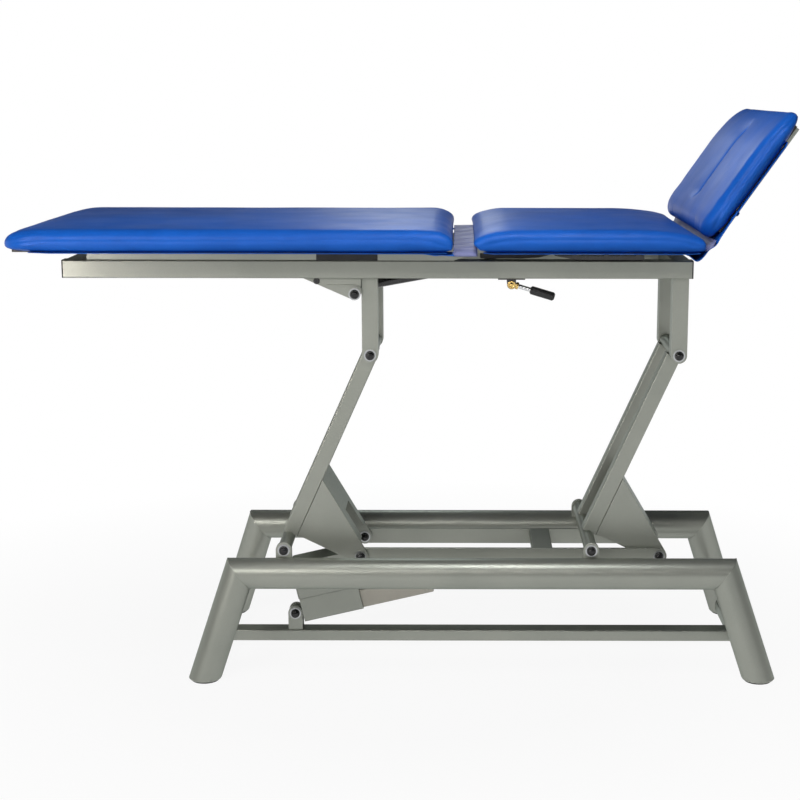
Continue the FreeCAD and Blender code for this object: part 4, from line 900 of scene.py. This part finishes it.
feet()
tube_collar()
for side in (-1, 1):
    bracket_bolt(side)
bracket_ribs()
dark_pads()
cover_tabs()
hub = turned("hub_bush", ((0.0030, 0.0), (0.0088, 0.0), (0.0092, 0.0006), (0.0092, 0.0018), (0.0086, 0.0024),
                          (0.0056, 0.0026), (0.0052, 0.0020), (0.0048, 0.0020), (0.0044, 0.0030), (0.0010, 0.0034)),
             (0.2399, -0.1600, 0.8860), (0, -1, 0), looks["brass_ring"], 40)
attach(hub, "top_frame")
pin_caps("base_pin_caps", "base")
pin_caps("link_pin_caps", "link_frame")
pin_caps("frame_pin_caps", "top_frame")


# Floor, light and camera

def floor_look():
    """Pale floor that keeps the couch's shadow and turns white further out."""
    look = Looks("pale_floor")
    tree = look.tree
    look.colour(look.mix(look.noise(1.5, 4), (0.5, 0.5, 0.5), (0.54, 0.54, 0.54)))
    look.set(Roughness=0.9, Specular_IOR_Level=0.1)
    look.normal(look.bump(look.noise(60, 3), 0.03, 0.001))
    glow = look.add("ShaderNodeEmission")
    glow.inputs["Color"].default_value = (1, 1, 1, 1)
    path = look.add("ShaderNodeLightPath")
    seen = look.add("ShaderNodeMath", operation="MAXIMUM")
    look.join(path.outputs["Is Camera Ray"], seen.inputs[0])
    look.join(path.outputs["Is Glossy Ray"], seen.inputs[1])
    far = look.add("ShaderNodeVectorMath", operation="LENGTH")
    look.join(look.spot, far.inputs[0])
    share = look.span(far.outputs["Value"], 0.92, 1.0, 0.6, 1.7)
    amount = look.add("ShaderNodeMath", operation="MULTIPLY")
    look.join(seen.outputs[0], amount.inputs[0])
    look.join(share, amount.inputs[1])
    both = look.add("ShaderNodeMixShader")
    look.join(amount.outputs[0], both.inputs[0])
    look.join(look.shader.outputs[0], both.inputs[1])
    look.join(glow.outputs[0], both.inputs[2])
    look.join(both.outputs[0], tree.nodes["Material Output"].inputs["Surface"])
    return look.material


floor_mesh = bpy.data.meshes.new("floor")
REACH = 30
floor_mesh.from_pydata([(-REACH, -REACH, 0), (REACH, -REACH, 0), (REACH, REACH, 0), (-REACH, REACH, 0)], [],
                       [(0, 1, 2, 3)])
floor_mesh.materials.append(floor_look())
floor = bpy.data.objects.new("floor", floor_mesh)
scene.collection.objects.link(floor)

# The room is white at the height of the horizon and dark above
world = bpy.data.worlds.new("studio")
scene.world = world
world.use_nodes = True
tree = world.node_tree
tree.nodes.clear()
direction = tree.nodes.new("ShaderNodeTexCoord")
parts = tree.nodes.new("ShaderNodeSeparateXYZ")
rise = tree.nodes.new("ShaderNodeValToRGB")
rise.color_ramp.elements[0].position = 0.05
rise.color_ramp.elements[0].color = (1, 1, 1, 1)
rise.color_ramp.elements[1].position = 0.13
rise.color_ramp.elements[1].color = (0.08, 0.083, 0.086, 1)
path = tree.nodes.new("ShaderNodeLightPath")
level = tree.nodes.new("ShaderNodeMapRange")
level.inputs["To Min"].default_value = 1.0
level.inputs["To Max"].default_value = 0.5
back = tree.nodes.new("ShaderNodeBackground")
out = tree.nodes.new("ShaderNodeOutputWorld")
for a, b in ((direction.outputs["Generated"], parts.inputs[0]), (parts.outputs["Z"], rise.inputs["Fac"]),
             (rise.outputs["Color"], back.inputs["Color"]), (path.outputs["Is Diffuse Ray"], level.inputs["Value"]),
             (level.outputs["Result"], back.inputs["Strength"]), (back.outputs[0], out.inputs["Surface"])):
    tree.links.new(a, b)


def softbox(name, place, aim, size, power, colour=(1, 1, 1)):
    """A rectangular lamp at a place, turned towards a point."""
    data = bpy.data.lights.new(name, "AREA")
    data.shape = "RECTANGLE"
    data.size, data.size_y = size
    data.energy = power
    data.color = colour
    item = bpy.data.objects.new(name, data)
    item.location = place
    item.rotation_euler = (Vector(aim) - Vector(place)).to_track_quat("-Z", "Y").to_euler()
    scene.collection.objects.link(item)


softbox("key", (-2.0, -3.5, 2.5), (-0.1, 0, 0.7), (1.6, 1.6), 68, (1.0, 0.985, 0.965))
softbox("strip", (-0.3, -2.0, 1.55), (0.1, 0.1, 0.35), (2.2, 0.06), 7, (1.0, 0.95, 0.92))
softbox("fill", (2.6, -3.2, 1.9), (0.2, 0, 0.6), (1.4, 2.0), 9)
softbox("left_panel", (-1.12, -1.0, 0.85), (-0.75, -0.16, 0.93), (0.14, 0.3), 3.0, (1.0, 0.91, 0.86))
softbox("top_panel", (0.25, -0.9, 2.5), (0.12, 0, 0.98), (0.5, 0.5), 15)
softbox("back_panel", (-0.08, 2.4, 1.95), (0.0, 0, 1.0), (0.45, 0.4), 4.5, (0.92, 0.98, 1.0))

# The camera that was solved from the photo
CAMERA_DOWN = 10.7
CAMERA_ROLL = -0.1
view = bpy.data.cameras.new("camera")
view.sensor_width = 36.0
view.lens = 74.93
view.shift_x = -0.075
camera = bpy.data.objects.new("camera", view)
camera.rotation_euler = (math.radians(90 - CAMERA_DOWN), math.radians(CAMERA_ROLL), 0)
camera.location = (0.125, -3.8284, 1.3195)
scene.collection.objects.link(camera)
scene.camera = camera
scene.view_settings.view_transform = "Standard"
